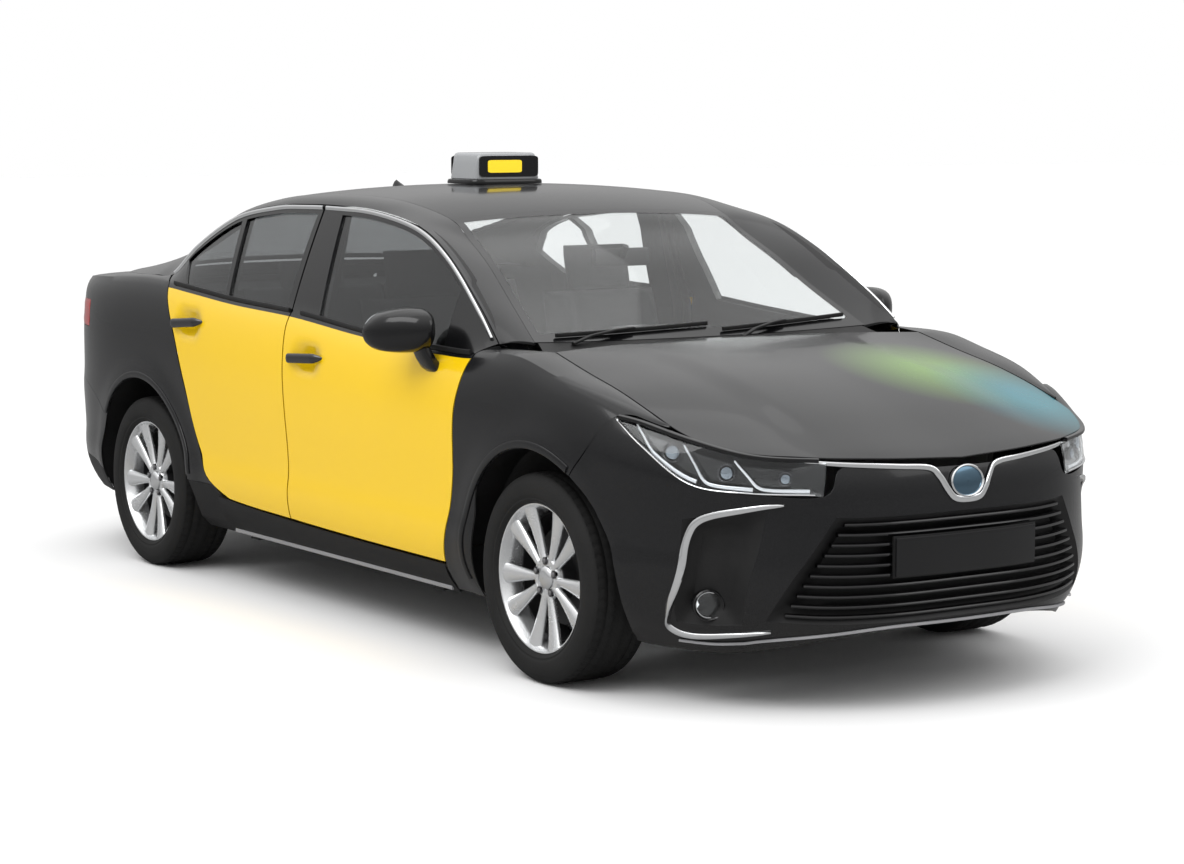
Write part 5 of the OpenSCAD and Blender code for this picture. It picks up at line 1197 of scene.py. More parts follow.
def build_roof():
    """Roof, side rails, windscreen and rear window with dark borders."""
    across = parts(-1, 1, 40)
    g = trim(span(parts(4, 10, 48), ROOF_CROWN, across), 0.2, 0.2, 0.2, 0.2)
    Piece().add(shell(g, g + 10 * dir_top(g), outer=0, inner=1)).make(
        "roof_skin", "body", looks("body paint", "dark trim"), "body_paint", ["roof"], bevel=0.001)
    s, v = parts(0, 13, 130), parts(0, 1, 8)[:, None, None]
    mate = np.interp(s, [r[0] for r in RAIL_MATE], [r[1] for r in RAIL_MATE])
    g = mix(point3(WINDOW, s), point3(RAIL, mate), v) + 40 * v * (1 - v) * [0, 0.7, 0.7]
    g = trim(g, 0.2, 0.2)
    inward = unit(np.concatenate([0 * v, -(1 - 0.5 * v), -v * 1.1], -1)) + 0 * g
    depth = np.where(s < 1.5, 12, 24)[None, :, None]
    Piece().both(shell(g, g + depth * inward, outer=0, inner=1)).make(
        "side_rail_skins", "body", looks("body paint", "dark trim"), "body_paint", ["side_rails"], bevel=0.001)
    for name, node, places, table, trims, thick in (
            ("windscreen_pane", "windscreen", parts(0, 4, 40), SCREEN_CROWN, (2, 0.2, 1, 1), 6),
            ("rear_window_pane", "rear_window", parts(10, 12, 24), BACK_CROWN, (0.2, 2, 1, 1), 5)):
        g = trim(span(places, table, across), *trims)
        border = np.zeros((g.shape[0] - 1, g.shape[1] - 1), int)
        border[:2], border[-2:], border[:, :1], border[:, -1:] = 1, 1, 1, 1
        pane = Piece().add(shell(g, g + thick * dir_top(g), outer=border, inner=0))
        pane.make(name, "body", looks("screen glass", "gloss black"), "glass", [node])


def build_sills():
    """Sill skirts along the foot of the doors with a light strip."""
    x = parts(FA - 545, RA + 600, 60)
    foot = curve(DOOR_FOOT, x) - 8
    v = parts(0, 1, 8)[:, None]
    z = mix(193.0, foot[None], v)
    g = skin(np.broadcast_to(x, z.shape), z)
    g[..., 1] += 5 * np.sin(np.pi * v) ** 0.6
    skirt = Piece().both(shell(g, g - [0, 4, 0]))
    line = skin(x[1:-1], 205.0 + 0 * x[1:-1]) + [0, 5, 0]
    skirt.both(sweep(line, oval(7, 15, 10, 3)), 1)
    skirt.make("sill_skirts", "body", looks("black plastic", "grey strip"), "black_plastic")


# Wheels: pairs of spokes, half the angle in a pair, turn of the first pair, bolt circle, points round a tyre
SPOKE_PAIRS, SPOKE_SPREAD, SPOKE_TURN, BOLT_R, TYRE_COUNT = 5, 14.5, 90, 51, 180


def spoke(angle, w):
    """Spoke: a rounded section carried from the hub to the rim, wider and lower at its ends."""
    u = parts(0, 1, 14)
    r = mix(52.0, RIM_R - 13, u)
    sizes = bpy.context.scene.taxi_sizes
    half_w = mix(sizes.spoke_hub, sizes.spoke_rim, u ** 1.3) / MM / 2
    height = w - 8 + 14 * u ** 2
    c, s = circle(18)
    cross_y = signed(c, 0.7) * half_w[:, None]
    cross_z = height[:, None] - 13 + signed(s, 0.8) * (13 - 4 * np.abs(c) ** 2)
    ca, sa = math.cos(angle), math.sin(angle)
    return loft(np.stack([r[:, None] * ca - cross_y * sa, r[:, None] * sa + cross_y * ca, cross_z], -1))


def build_wheels():
    """Alloy wheels with five pairs of spokes, lug recesses, a blank cap and a brake disc, and the tyres."""
    w, depth = 0.36 * TYRE_W - 0.15, bpy.context.scene.taxi_sizes.tread / MM
    rim = revolve([[RIM_R - 12.4, -w], [RIM_R - 12.4, w], [RIM_R - 4, w + 11], [RIM_R - 6, w + 14],
                   [RIM_R - 10, w + 13], [RIM_R - 14, w + 6], [RIM_R - 20, w - 6], [RIM_R - 26, w - 22],
                   [RIM_R - 32, w - 60], [RIM_R - 34, -w + 20], [RIM_R - 26, -w]], 96)
    hub = revolve([[36, w - 60], [66, w - 56], [66, w - 20], [60, w - 10], [48, w - 9], [36, w - 12]], 60)
    cap = revolve([[1, w - 16], [35, w - 16], [35, w - 8], [30, w - 3], [18, w - 1], [1, w]], 40)
    disc = revolve([[60, -20], [148, -20], [148, 6], [60, 6]], 72)
    # Dark sheet just inside the rim's barrel, in dark trim: painted shade over the alloy barrel
    barrel_shade = revolve([[RIM_R - 42, -w + 26], [RIM_R - 38, -w + 26], [RIM_R - 36, w - 52], [RIM_R - 40, w - 52]], 96)
    drum = revolve([[25, -24], [70, -24], [70, w - 30], [25, w - 30]], 48)
    bolt = revolve([[1, w - 14], [8, w - 14], [8, w - 4], [5, w - 2], [1, w - 2]], 6)
    pit = revolve([[9, w - 14], [12, w - 14], [12, w - 6], [9, w - 6]], 20)
    parts_of = [(rim, 0), (hub, 0), (cap, 1), (disc, 4), (drum, 4), (barrel_shade, 4)]
    for k in range(SPOKE_PAIRS):
        turn = SPOKE_TURN + 360 / SPOKE_PAIRS * k
        parts_of += [(spoke(math.radians(turn + d), w), 0) for d in (-SPOKE_SPREAD, SPOKE_SPREAD)]
        q = math.radians(turn + 180 / SPOKE_PAIRS)
        at = BOLT_R * np.array([math.cos(q), math.sin(q), 0])
        parts_of += [((bolt[0] + at, bolt[1]), 2), ((pit[0] + at, pit[1]), 3)]
    section = np.array([[RIM_R - 12, 0.36], [RIM_R + 4, 0.462], [RIM_R + 12, 0.47], [RIM_R + 20, 0.49],
                        [RIM_R + 36, 0.5], [RIM_R + 52, 0.495], [TYRE_R - 24, 0.48], [TYRE_R - 10, 0.44],
                        [TYRE_R - 3.5, 0.39], [TYRE_R - 0.6, 0.3], [TYRE_R, 0.15]])
    section = np.concatenate([section, [[TYRE_R, 0.0]], section[::-1] * [1, -1]])
    prof = densify(section, 3, [0, len(section) - 1])
    a = np.linspace(0, 2 * np.pi, TYRE_COUNT, endpoint=False)
    h = prof[:, 1] * TYRE_W
    tread = prof[:, 0] > TYRE_R - 14
    groove = np.exp(-((np.abs(h) - 18) / 5) ** 4) + np.exp(-((np.abs(h) - 58) / 5) ** 4)
    block = (np.sin(a[None] * 60 + h[:, None] * 0.05 * np.sign(h[:, None])) > 0.72) & (np.abs(h) > 24)[:, None]
    radius = prof[:, :1] - np.where(tread[:, None], np.maximum(groove[:, None], block * 0.65) * depth, 0)
    g = np.stack([radius * np.cos(a), radius * np.sin(a), np.repeat(-h[:, None], TYRE_COUNT, 1)], -1)
    tyre = (g.reshape(-1, 3), [plain(grid_faces(len(prof), TYRE_COUNT, True, True)[:, ::-1])])
    for end, x in (("front", FA), ("rear", RA)):
        for side, way, letter in SIDES:
            body = f"roll_{end[0]}{letter}"
            move = placed(np.array([x, way * WHEEL_Y, HUB_Z]), AHEAD, -UP, way * OUT)
            wheel = Piece()
            for part, finish in parts_of:
                wheel.add(part, finish, move)
            wheel.make(f"alloy_{end}_{side}", body, looks("alloy", "chrome", "steel", "dark chrome", "dark trim"),
                       "alloy", [f"wheel_{end}_{side}"])
            Piece().add(tyre, 0, move).make(f"tyre_{end}_{side}_rubber", body, looks("tyre rubber"), "tyre",
                                            [f"tyre_{end}_{side}"], sharp=30)


# Door mirror: columns distance out, foot, head and depth of the housing there
MIRROR = [[0, 34, 112, 150], [5, 20, 128, 172], [16, 7, 137, 186], [45, 1, 140, 187], [80, 0, 136, 168],
          [112, 2, 127, 134], [138, 9, 114, 98], [154, 22, 97, 66], [163, 36, 82, 40], [167, 52, 68, 18]]
MIRROR_X, MIRROR_Y, MIRROR_Z = FA - 722, HW - 16, 950.0


def build_mirrors():
    """Door mirrors: superellipse sections along the housing, cut flat behind, with a bright glass and a foot."""
    out = np.concatenate([parts(0, 16, 6), parts(16, 138, 14)[1:], parts(138, 167, 10)[1:]])
    low, high, deep = (curve(MIRROR, out, k) for k in (1, 2, 3))
    c, s = circle(40)
    across = 0.5 + 0.5 * signed(c, np.where(c > 0, 0.85, 0.4))
    along = 0.5 + 0.5 * signed(s, 0.75)
    g = np.stack([MIRROR_X + deep[:, None] * across, MIRROR_Y + out[:, None] + 0 * across,
                  MIRROR_Z + mix(low[:, None], high[:, None], along)], -1)
    pane_out = parts(12, 155, 16)
    z = mix(curve(MIRROR, pane_out, 1) + 9, curve(MIRROR, pane_out, 2) - 9, parts(0, 1, 8)[:, None])
    pane = np.stack([MIRROR_X - 2 + 0 * z, MIRROR_Y + pane_out + 0 * z, MIRROR_Z + z], -1)
    path = np.array([[134, -12, -47], [134, 4, -34], [130, 20, -8], [122, 30, 24]])
    foot = sweep(path + [MIRROR_X, MIRROR_Y, MIRROR_Z], oval(40, 84, 24, 3), up=AHEAD,
                 size=[[0.9, 1.0], [1, 1], [0.95, 0.95], [1, 0.95]])
    for side, way, letter in SIDES:
        mirror, move = Piece(), placed(np.zeros(3), AHEAD, way * OUT, UP)
        for part, finish in ((loft(g), 0), (foot, 0), (shell(pane, pane + [4, 0, 0]), 1)):
            mirror.add(part, finish, move)
        mirror.make(f"mirror_{side}_housing", f"door_f{letter}", looks("gloss black", "mirror glass"),
                    "black_plastic", [f"mirror_{side}"])


# Steering wheel: tilt of its axis from upright in degrees and radius of its rim
HELM_TILT, HELM_R = 65, 170


def seat_pads():
    """Cushions of the front seats, with head rests and bases, and of the rear bench."""
    lean = unit(np.array([-0.24, 0, 1.0]))
    seats = Piece()
    for way in (1, -1):
        sx, sy = DASH_X - 730, way * SEAT_Y
        seats.add(pillow([sx, sy, 430], [260, 0, 0], [0, 245, 0], UP, 48, 90, 22, 2))
        seats.add(pillow([sx - 292, sy, 760], lean * 300, [0, 235, 0], np.cross(OUT, lean), 44, 44, 24, 2))
        seats.add(pillow([sx - 372, sy, 1135], lean * 82, [0, 128, 0], np.cross(OUT, lean), 34, 30))
        for d in (-60, 60):
            seats.add(sweep([[sx - 352, sy + d, 1010], [sx - 372, sy + d, 1100]], oval(13, 13, 12), up=AHEAD), 1)
        seats.add(sweep([[sx - 200, sy, 290], [sx + 200, sy, 290]], oval(390, 90, 24, 6)), 2)
    pad = seats.make("front_seat_pads", "body", looks("seat cloth", "steel", "dark trim"), "seat_cloth",
                     ["front_seats"])
    bench = Piece()
    slope = unit(np.array([-0.34, 0, 0.94]))
    for y in (-300, 300):
        bench.add(pillow([RA + 660, y, 440], [215, 0, 0], [0, 292, 0], UP, 45, 50, 10, 2))
        bench.add(pillow([RA + 385, y, 760], slope * 300, [0, 292, 0], np.cross(OUT, slope), 45, 48, 10, 2))
        bench.add(pillow([RA + 275, y, 1075], slope * 60, [0, 130, 0], np.cross(OUT, slope), 30, 28))
    pad = bench.make("rear_bench_pads", "body", looks("seat cloth"), "seat_cloth", ["rear_bench"])


def dashboard(hp, axis):
    """Dashboard with a hood over the dials, a screen, vents, console and lever, and the column at hub hp."""
    section = np.array([[-22, 870], [-40, 925], [-150, 932], [-235, 915], [-300, 880], [-318, 800], [-280, 690],
                        [-240, 610], [-140, 566], [-22, 566], [-22, 700]], float)
    section = densify(np.concatenate([section, section[:1]]), 4, [0, 9, 11])[:-1]
    y = np.concatenate([[-628, -624, -610], parts(-560, 560, 16), [610, 624, 628]])
    grow = np.interp(np.abs(y), [560, 610, 624, 628], [1, 0.99, 0.96, 0.9])
    mid = np.array([-160, 750])
    ring = mid + (section - mid) * grow[:, None, None]
    hump = 26 * np.exp(-((y - SEAT_Y) / 130) ** 4)[:, None] * np.clip((ring[..., 1] - 850) / 60, 0, 1)
    g = np.stack([DASH_X + ring[..., 0], np.broadcast_to(y[:, None], ring.shape[:2]), ring[..., 1] + hump], -1)
    dash = Piece().add(loft(g))
    screen = sweep([[DASH_X - 300, -115, 925], [DASH_X - 300, 115, 925]], oval(22, 130, 20, 8))
    dash.add(screen, 1)
    for a in (-520, 520, -180, 180):
        dash.add(sweep([[DASH_X - 312, a - 50, 850], [DASH_X - 312, a + 50, 850]], oval(24, 52, 16, 5)), 1)
    console = [[DASH_X - 180, 0, 445], [DASH_X - 330, 0, 430], [DASH_X - 560, 0, 405], [DASH_X - 1000, 0, 400]]
    dash.add(sweep(densify(np.array(console, float), 5, [0, 3]), oval(186, 150, 24, 6)), 0)
    dash.add(sweep([[DASH_X - 520, 0, 470], [DASH_X - 535, 0, 530], [DASH_X - 548, 0, 570]], oval(34, 34, 16, 2.4),
                   up=AHEAD, size=[[0.8, 0.8], [0.6, 0.6], [1, 1.2]]), 1)
    dash.add(sweep([hp - axis * 178, hp - axis * 110, hp - axis * 34], oval(58, 58, 20), up=OUT), 0)
    dash.make("dashboard_shell", "body", looks("dash trim", "gloss black"), "black_plastic", ["dashboard"])


def steering_wheel(hp, axis):
    """Steering wheel with three arms and a padded boss at hub hp."""
    down = np.cross(axis, OUT)
    c, s = circle(72)
    ring = hp + HELM_R * (c[:, None] * OUT + s[:, None] * down)
    helm = Piece().add(sweep(ring, oval(28, 30, 14), up=axis, closed=True), 0)
    for way in (OUT, -OUT, down):
        arm = [hp + way * 30 - axis * 8, hp + way * 100 - axis * 6, hp + way * (HELM_R - 4)]
        helm.add(sweep(arm, oval(34, 14, 14, 3), up=axis), 1)
    helm.add(pillow(hp - axis * 8, OUT * 72, down * 52, axis, 16, 18), 0)
    helm.make("steering_rim", "helm", looks("dash trim", "dark chrome"), "black_plastic", ["steering_wheel"])


def cabin_trims():
    """Seals on the centre pillars and the inner mirror."""
    seal = np.array([[-127, 769, 690], [-127, 769, 790], [-127, 769, 880], [-127, 761, 985], [-127, 671, 1300.0]])
    seal = densify(seal, 5, [0, 2, 3, 4])
    Piece().both(sweep(seal, oval(19, 48, 16, 2.4), up=AHEAD)).make(
        "pillar_seals", "body", looks("black plastic"), "black_plastic")
    pane = sweep([[DASH_X - 408, -108, 1210], [DASH_X - 408, 108, 1210]], oval(24, 60, 20, 3))
    stalk = sweep([[DASH_X - 398, 0, 1212], [DASH_X - 386, 0, 1232], [DASH_X - 376, 0, 1248]], oval(20, 20, 12),
                  up=OUT)
    Piece().add(pane).add(stalk).make("cabin_mirror_shell", "body", looks("black plastic"), "black_plastic",
                                      ["cabin_mirror"])


def build_cabin():
    """Seats, bench, dashboard, steering wheel, pillar seals and inner mirror."""
    tilt = math.radians(HELM_TILT)
    hub = np.array([DASH_X - 390, SEAT_Y, 775]), np.array([-math.sin(tilt), 0, math.cos(tilt)])
    seat_pads()
    dashboard(*hub)
    steering_wheel(*hub)
    cabin_trims()


def build_engine():
    """Engine with a ribbed cover and filler cap, a finned radiator between the aprons, and a battery."""
    x, top = FA + 70, 729.0
    engine = Piece().add(stack(x, 0, [[290, 330, 470], [296, 348, 488], [380, 360, 500], [386, 430, 590],
                                      [396, 438, 598], [560, 438, 598], [570, 430, 590], [576, 390, 540],
                                      [640, 386, 536]], 64, 9), 0)
    engine.add(stack(x, 0, [[641, 392, 540], [646, 404, 552], [690, 404, 552], [704, 398, 546], [711, 386, 534],
                            [714, 366, 514]], 72, 7), 1)
    for d in np.linspace(-130, 130, 5):
        engine.add(sweep([[x + d, -215, 715], [x + d, -205, 717], [x + d, 205, 717], [x + d, 215, 715]],
                         oval(22, 7, 14, 3)), 1)
    cap = revolve([[1, 714], [34, 714], [36, 717], [36, 724], [32, 728], [12, 728], [10, top], [1, top]], 30)
    engine.add((cap[0] + [x - 65, 120, 0], cap[1]), 2)
    for d in (-150, -50, 50, 150):
        pipe = np.array([[x + 196, d, 520], [x + 205, d, 560], [x + 206, d, 620], [x + 186, d, 655]], float)
        engine.add(sweep(densify(pipe, 5, [0, 3]), oval(44, 44, 20), up=OUT), 0)
    engine.make("engine_cover", "body", looks("cast metal", "dark trim", "black plastic"), "steel", ["engine"])
    y, z = np.meshgrid(parts(-446, 446, 223), parts(310, 690, 19))
    fins = 4 * np.sin(y * np.pi / 4) * np.clip((440 - np.abs(y)) / 40, 0, 1)
    face = np.stack([FA + 545 + fins, y, z], -1)
    cooler = Piece().add(shell(face, face - (24 + fins)[..., None] * AHEAD), 0)
    tank_x = FA + 533
    for z in (302, 698):
        cooler.add(sweep([[tank_x, -449, z], [tank_x, 0, z], [tank_x, 449, z]], oval(40, 30, 20, 4)), 1)
    cooler.add(sweep([[tank_x, 300, 694], [FA + 470, 290, 704], [FA + 380, 270, 690], [FA + 290, 240, 650]],
                     oval(38, 38, 18)), 1)
    cooler.make("radiator", "body", looks("cast metal", "black plastic"), "steel")
    bx, by = FA + 20, 384
    battery = Piece().add(stack(bx, by, [[470, 236, 116], [474, 242, 122], [640, 242, 122], [644, 246, 126],
                                         [662, 246, 126], [668, 240, 120]], 48, 12), 0)
    post = revolve([[1, 668], [9, 668], [8, 684], [1, 684]], 18)
    for d in (-80, 80):
        battery.add((post[0] + [bx + d, by, 0], post[1]), 1)
    battery.add(sweep([[bx - 120, by + 2, 462], [bx, by + 2, 462], [bx + 120, by + 2, 462]], oval(128, 14, 20, 6)), 1)
    battery.make("battery", "body", looks("black plastic", "steel"), "black_plastic")


# Roof sign: middle, foot height, width across the car, length along it, height, and height and rim of its base
SIGN_X, SIGN_Z, SIGN_W, SIGN_L, SIGN_H, SIGN_BASE, SIGN_RIM = FA - 1610, 1441.5, 280, 190, 92, 16, 24
# Rings of the sign's base: columns rise, size; rings of its box: columns share of the height, size
BASE_RINGS = [[0, 1], [3, 1], [8, 1], [14, 0.985], [16, 0.95]]
BOX_RINGS = [[0, 0.985], [0.03, 1], [0.1, 1], [0.3, 1], [0.6, 1], [0.86, 1], [0.94, 0.985], [0.985, 0.95], [1, 0.9]]


def roof_sign():
    """Roof sign on its base, with a dark face and a plain lit panel at both ends."""
    base = [[SIGN_Z + d, (SIGN_L + SIGN_RIM) * k, (SIGN_W + SIGN_RIM) * k] for d, k in BASE_RINGS]
    Piece().add(stack(SIGN_X, 0, base, 40, 6)).make(
        "sign_foot", "body", looks("gloss black"), "black_plastic", ["sign_base"])
    rows = [[SIGN_Z + SIGN_BASE + 0.3 + SIGN_H * u, SIGN_L * k, (SIGN_W - 32 * u) * k] for u, k in BOX_RINGS]
    box = Piece().add(stack(SIGN_X, 0, rows, 72, 7))
    for way in (1, -1):
        x, z = SIGN_X + way * SIGN_L / 2, SIGN_Z + SIGN_BASE + 45
        for wide, tall, out, finish, dy in ((244, 74, 2, 1, 0), (140, 44, 4, 2, -18)):
            box.add(sweep([[x - way * 3, dy, z], [x + way * out, dy, z]], oval(wide, tall, 40, 10)), finish)
    box.make("sign_lamp", "body", looks("sign white", "gloss black", "sign lit"), "sign_white", ["sign_box"])


def fin_aerial():
    """Fin aerial: half rings that rise towards the tail and lean back."""
    u = parts(0, 1, 16)
    height = 62 * np.clip(u / 0.9, 0, 1) ** 1.4 * np.where(u > 0.9, 1 - (u - 0.9) * 3, 1)
    a = parts(0, math.pi, 12)
    wide = 15 * np.sin(np.pi * np.clip(u * 0.9 + 0.05, 0, 1)) ** 0.5
    fx = RA + 562 - 188 * u
    foot = 1378 + 16 * (1 - u)
    ring_y = np.cos(a)[None] * wide[:, None]
    ring_z = foot[:, None] + np.sin(a)[None] ** 0.8 * np.maximum(height, 4)[:, None]
    lean = np.sin(a)[None] * 26 * u[:, None]
    fin = np.stack([fx[:, None] - lean * 0.3, ring_y, ring_z], -1)
    Piece().add(loft(fin[:, ::-1])).make("fin_shell", "body", looks("gloss black"), "black_plastic", ["fin_aerial"])


def screen_wipers():
    """Two wipers lying at the foot of the windscreen, each a blade and an arm."""
    wipers = Piece()
    screen_w, count = 640, 16

    def on_screen(place, f):
        """Points across the windscreen at a share of its length."""
        return span(np.full(1, place), SCREEN_CROWN, f)[0]
    for y0, y1, pivot in ((-560, 20, -520), (60, 590, 110)):
        f = parts(y0, y1, count) / screen_w
        blade = mix(on_screen(0.1, f), on_screen(0.24, f), parts(0, 1, count)[:, None]) + [4, 0, 8]
        wipers.add(sweep(blade, oval(10, 14, 8, 3)))
        start, end = on_screen(0.0, np.array([pivot / screen_w]))[0] + [22, 0, -4], blade[count // 2]
        arm = [start, mix(start, end, 0.3) + UP * 12, mix(start, end, 0.7) + UP * 12, end + UP * 6]
        wipers.add(sweep(arm, oval(16, 9, 10, 3)))
    wipers.make("wiper_pair", "body", looks("black plastic"), "black_plastic", ["wipers"])


def build_roof_fittings():
    """Roof sign, fin aerial and wipers."""
    roof_sign()
    fin_aerial()
    screen_wipers()


def dress_solids():
    """Materials on the solids that show as they are."""
    for name, nodes in (("underbody", ("floor_pan", "front_subframe", "rear_axle", "arch_liners")),
                        ("black plastic", ("body_frame",)), ("steel", ("exhaust", "hinge_pins")),
                        ("cast metal", ("knuckle_left", "knuckle_right"))):
        for node in nodes:
            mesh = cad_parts[node].data
            mesh.materials.clear()
            mesh.materials.append(LOOKS[name])


# Camera of the photo: turn and rise in degrees, place in metres, sensor width in millimetres, upward shift
CAM_TURN, CAM_RISE, CAM_PLACE, CAM_SENSOR, CAM_SHIFT = 56.167, 6.572, (8.386, -5.365, 1.697), 36.0, 0.0053
# Area lights: name, place, aim, size, and the stage's setting for the power
LIGHTS = (("key_light", (2.5, -6.0, 6.5), (0, 0, 0.6), (7, 4), "key"),
          ("fill_light", (7.0, 4.5, 5.0), (0.5, 0, 0.6), (5, 4), "fill"),
          ("top_light", (-1.0, 0.0, 7.5), (0, 0, 0), (9, 5), "top"))
FLOOR_HALF, VIEW_END = 60.0, 500


def stage_surround(scene, s):
    """Surround that brightens overhead, and a plain backdrop where it is seen straight or through glass."""
    world = scene.world or bpy.data.worlds.new("studio")
    scene.world = world
    world.use_nodes = True
    tree = world.node_tree
    height = tree.nodes.new("ShaderNodeSeparateXYZ")
    feed(tree, height.inputs[0], tree.nodes.new("ShaderNodeTexCoord").outputs["Generated"])
    dome = maths(tree, "ADD", maths(tree, "MULTIPLY", height.outputs["Z"], s.zenith - s.level), s.level)
    path = tree.nodes.new("ShaderNodeLightPath")
    seen = maths(tree, "MAXIMUM", path.outputs["Is Camera Ray"], path.outputs["Is Transmission Ray"])
    bare = maths(tree, "MULTIPLY", seen, s.backdrop)
    lit = maths(tree, "MULTIPLY", dome, maths(tree, "SUBTRACT", 1.0, seen))
    sockets = tree.nodes["Background"].inputs
    feed(tree, sockets["Strength"], maths(tree, "ADD", bare, lit))
    feed(tree, sockets["Color"], (1, 1, 1))
    scene.view_settings.view_transform = "Standard"


def stage_floor(scene, s):
    """White paper floor, darker where gloss mirrors it."""
    mesh = bpy.data.meshes.new("studio_floor")
    r = FLOOR_HALF
    mesh.from_pydata([(-r, -r, 0), (r, -r, 0), (r, r, 0), (-r, r, 0)], [], [(0, 1, 2, 3)])
    floor = bpy.data.objects.new("studio_floor", mesh)
    paper = look("floor paper", "paint film", (0.95, 0.95, 0.95), Flake=0.0, Dust=0.0, Roughness=0.9,
                 Specular_IOR_Level=0.1)
    tree = paper.node_tree
    bsdf = tree.nodes["Principled BSDF"]
    path = tree.nodes.new("ShaderNodeLightPath").outputs
    mirrored = maths(tree, "SUBTRACT", path["Is Glossy Ray"], path["Is Transmission Ray"], True)
    shade = blend(tree, mirrored, bsdf.inputs["Base Color"].links[0].from_socket, (s.mirrored,) * 3)
    feed(tree, bsdf.inputs["Base Color"], shade)
    mesh.materials.append(paper)
    scene.collection.objects.link(floor)


def stage_lights(scene, s):
    """Area lights of the table, each turned to its aim."""
    for name, place, aim, size, power in LIGHTS:
        data = bpy.data.lights.new(name, "AREA")
        data.shape, data.size, data.size_y, data.energy = "RECTANGLE", *size, getattr(s, power)
        light = bpy.data.objects.new(name, data)
        light.location = place
        light.rotation_euler = (Vector(aim) - Vector(place)).to_track_quat("-Z", "Y").to_euler()
        scene.collection.objects.link(light)


def stage_camera(scene, s):
    """Camera at the photo's angle."""
    cam = bpy.data.cameras.new("photo_camera")
    cam.sensor_width, cam.lens, cam.shift_y, cam.clip_end = CAM_SENSOR, s.lens, CAM_SHIFT, VIEW_END
    az, el = math.radians(CAM_TURN), math.radians(CAM_RISE)
    back = Vector((math.sin(az) * math.cos(el), -math.cos(az) * math.cos(el), math.sin(el)))
    right = Vector((math.cos(az), math.sin(az), 0))
    view = Matrix((right, back.cross(right), back)).transposed().to_4x4()
    view.translation = CAM_PLACE
    eye = bpy.data.objects.new("photo_camera", cam)
    eye.matrix_world = view
    scene.collection.objects.link(eye)
    scene.camera = eye


def build_stage():
    """Pale floor, soft lights and the camera at the photo's angle."""
    scene = bpy.context.scene
    for step in (stage_surround, stage_floor, stage_lights, stage_camera):
        step(scene, scene.taxi_stage)


# The add-on's settings, operators and panel
class TaxiColours(bpy.types.PropertyGroup):
    """Colours of the taxi's main finishes."""
    body: bpy.props.FloatVectorProperty(name="Body paint", description="Base colour of the dark panels",
                                        subtype="COLOR", size=3, min=0, max=1, default=(0.006, 0.006, 0.0066))
    door: bpy.props.FloatVectorProperty(name="Door paint", description="Base colour of the lower doors",
                                        subtype="COLOR", size=3, min=0, max=1, default=(0.82, 0.53, 0.004))
    alloy: bpy.props.FloatVectorProperty(name="Alloy", description="Base colour of the wheels", subtype="COLOR",
                                         size=3, min=0, max=1, default=(0.82, 0.83, 0.84))
    sign: bpy.props.FloatVectorProperty(name="Sign", description="Base colour of the roof sign", subtype="COLOR",
                                        size=3, min=0, max=1, default=(0.36, 0.37, 0.38))
    lit: bpy.props.FloatVectorProperty(name="Lit panel", description="Colour of the sign's lit panel",
                                       subtype="COLOR", size=3, min=0, max=1, default=(0.85, 0.62, 0.02))


class TaxiSizes(bpy.types.PropertyGroup):
    """Sizes of the fittings."""
    handle: bpy.props.FloatProperty(name="Handle length", description="Length of a door handle", default=0.236,
                                    min=0.1, max=0.3, unit="LENGTH")
    grip: bpy.props.FloatProperty(name="Handle height", description="Height of a door handle's bar", default=0.034,
                                  min=0.01, max=0.06, unit="LENGTH")
    strip: bpy.props.FloatProperty(name="Window strip", description="Height of the bright strip over the windows",
                                   default=0.015, min=0.004, max=0.03, unit="LENGTH")
    slats: bpy.props.IntProperty(name="Grille slats", description="Number of slats in the lower grille", default=10,
                                 min=2, max=16)
    spoke_hub: bpy.props.FloatProperty(name="Spoke at hub", description="Width of a spoke at the hub", default=0.025,
                                       min=0.005, max=0.03, unit="LENGTH")
    spoke_rim: bpy.props.FloatProperty(name="Spoke at rim", description="Width of a spoke at the rim", default=0.066,
                                       min=0.005, max=0.08, unit="LENGTH")
    tread: bpy.props.FloatProperty(name="Tread depth", description="Depth of the tyre's main grooves", default=0.006,
                                   min=0, max=0.009, unit="LENGTH")


class TaxiStage(bpy.types.PropertyGroup):
    """Light and camera of the stage."""
    lens: bpy.props.FloatProperty(name="Lens", description="Focal length of the camera in millimetres",
                                  default=86.45, min=10)
    level: bpy.props.FloatProperty(name="Surround, level", description="Strength of the surround at eye level",
                                   default=0.36, min=0)
    zenith: bpy.props.FloatProperty(name="Surround, overhead", description="Strength of the surround overhead",
                                    default=1.45, min=0)
    backdrop: bpy.props.FloatProperty(name="Backdrop", description="Strength of the surround as it is seen",
                                      default=1.0, min=0)
    mirrored: bpy.props.FloatProperty(name="Floor in reflections", default=0.3, min=0, max=1,
                                      description="Shade of the floor as gloss mirrors it")
    key: bpy.props.FloatProperty(name="Key light", description="Power of the key light", default=260, min=0,
                                 unit="POWER")
    fill: bpy.props.FloatProperty(name="Fill light", description="Power of the fill light", default=80, min=0,
                                  unit="POWER")
    top: bpy.props.FloatProperty(name="Top light", description="Power of the top light", default=60, min=0,
                                 unit="POWER")


class TAXI_OT_stage(bpy.types.Operator):
    """Adds the floor, the lights and the camera"""
    bl_idname, bl_label = "taxi.stage", "Stage"

    def execute(self, context):
        build_stage()
        return {"FINISHED"}


class TAXI_OT_finishes(bpy.types.Operator):
    """Makes the materials and puts them on the solids that show"""
    bl_idname, bl_label = "taxi.finishes", "Finishes"

    def execute(self, context):
        make_looks()
        dress_solids()
        return {"FINISHED"}


class TAXI_OT_hood(bpy.types.Operator):
    """Adds the hood"""
    bl_idname, bl_label = "taxi.hood", "Hood"

    def execute(self, context):
        build_hood()
        return {"FINISHED"}


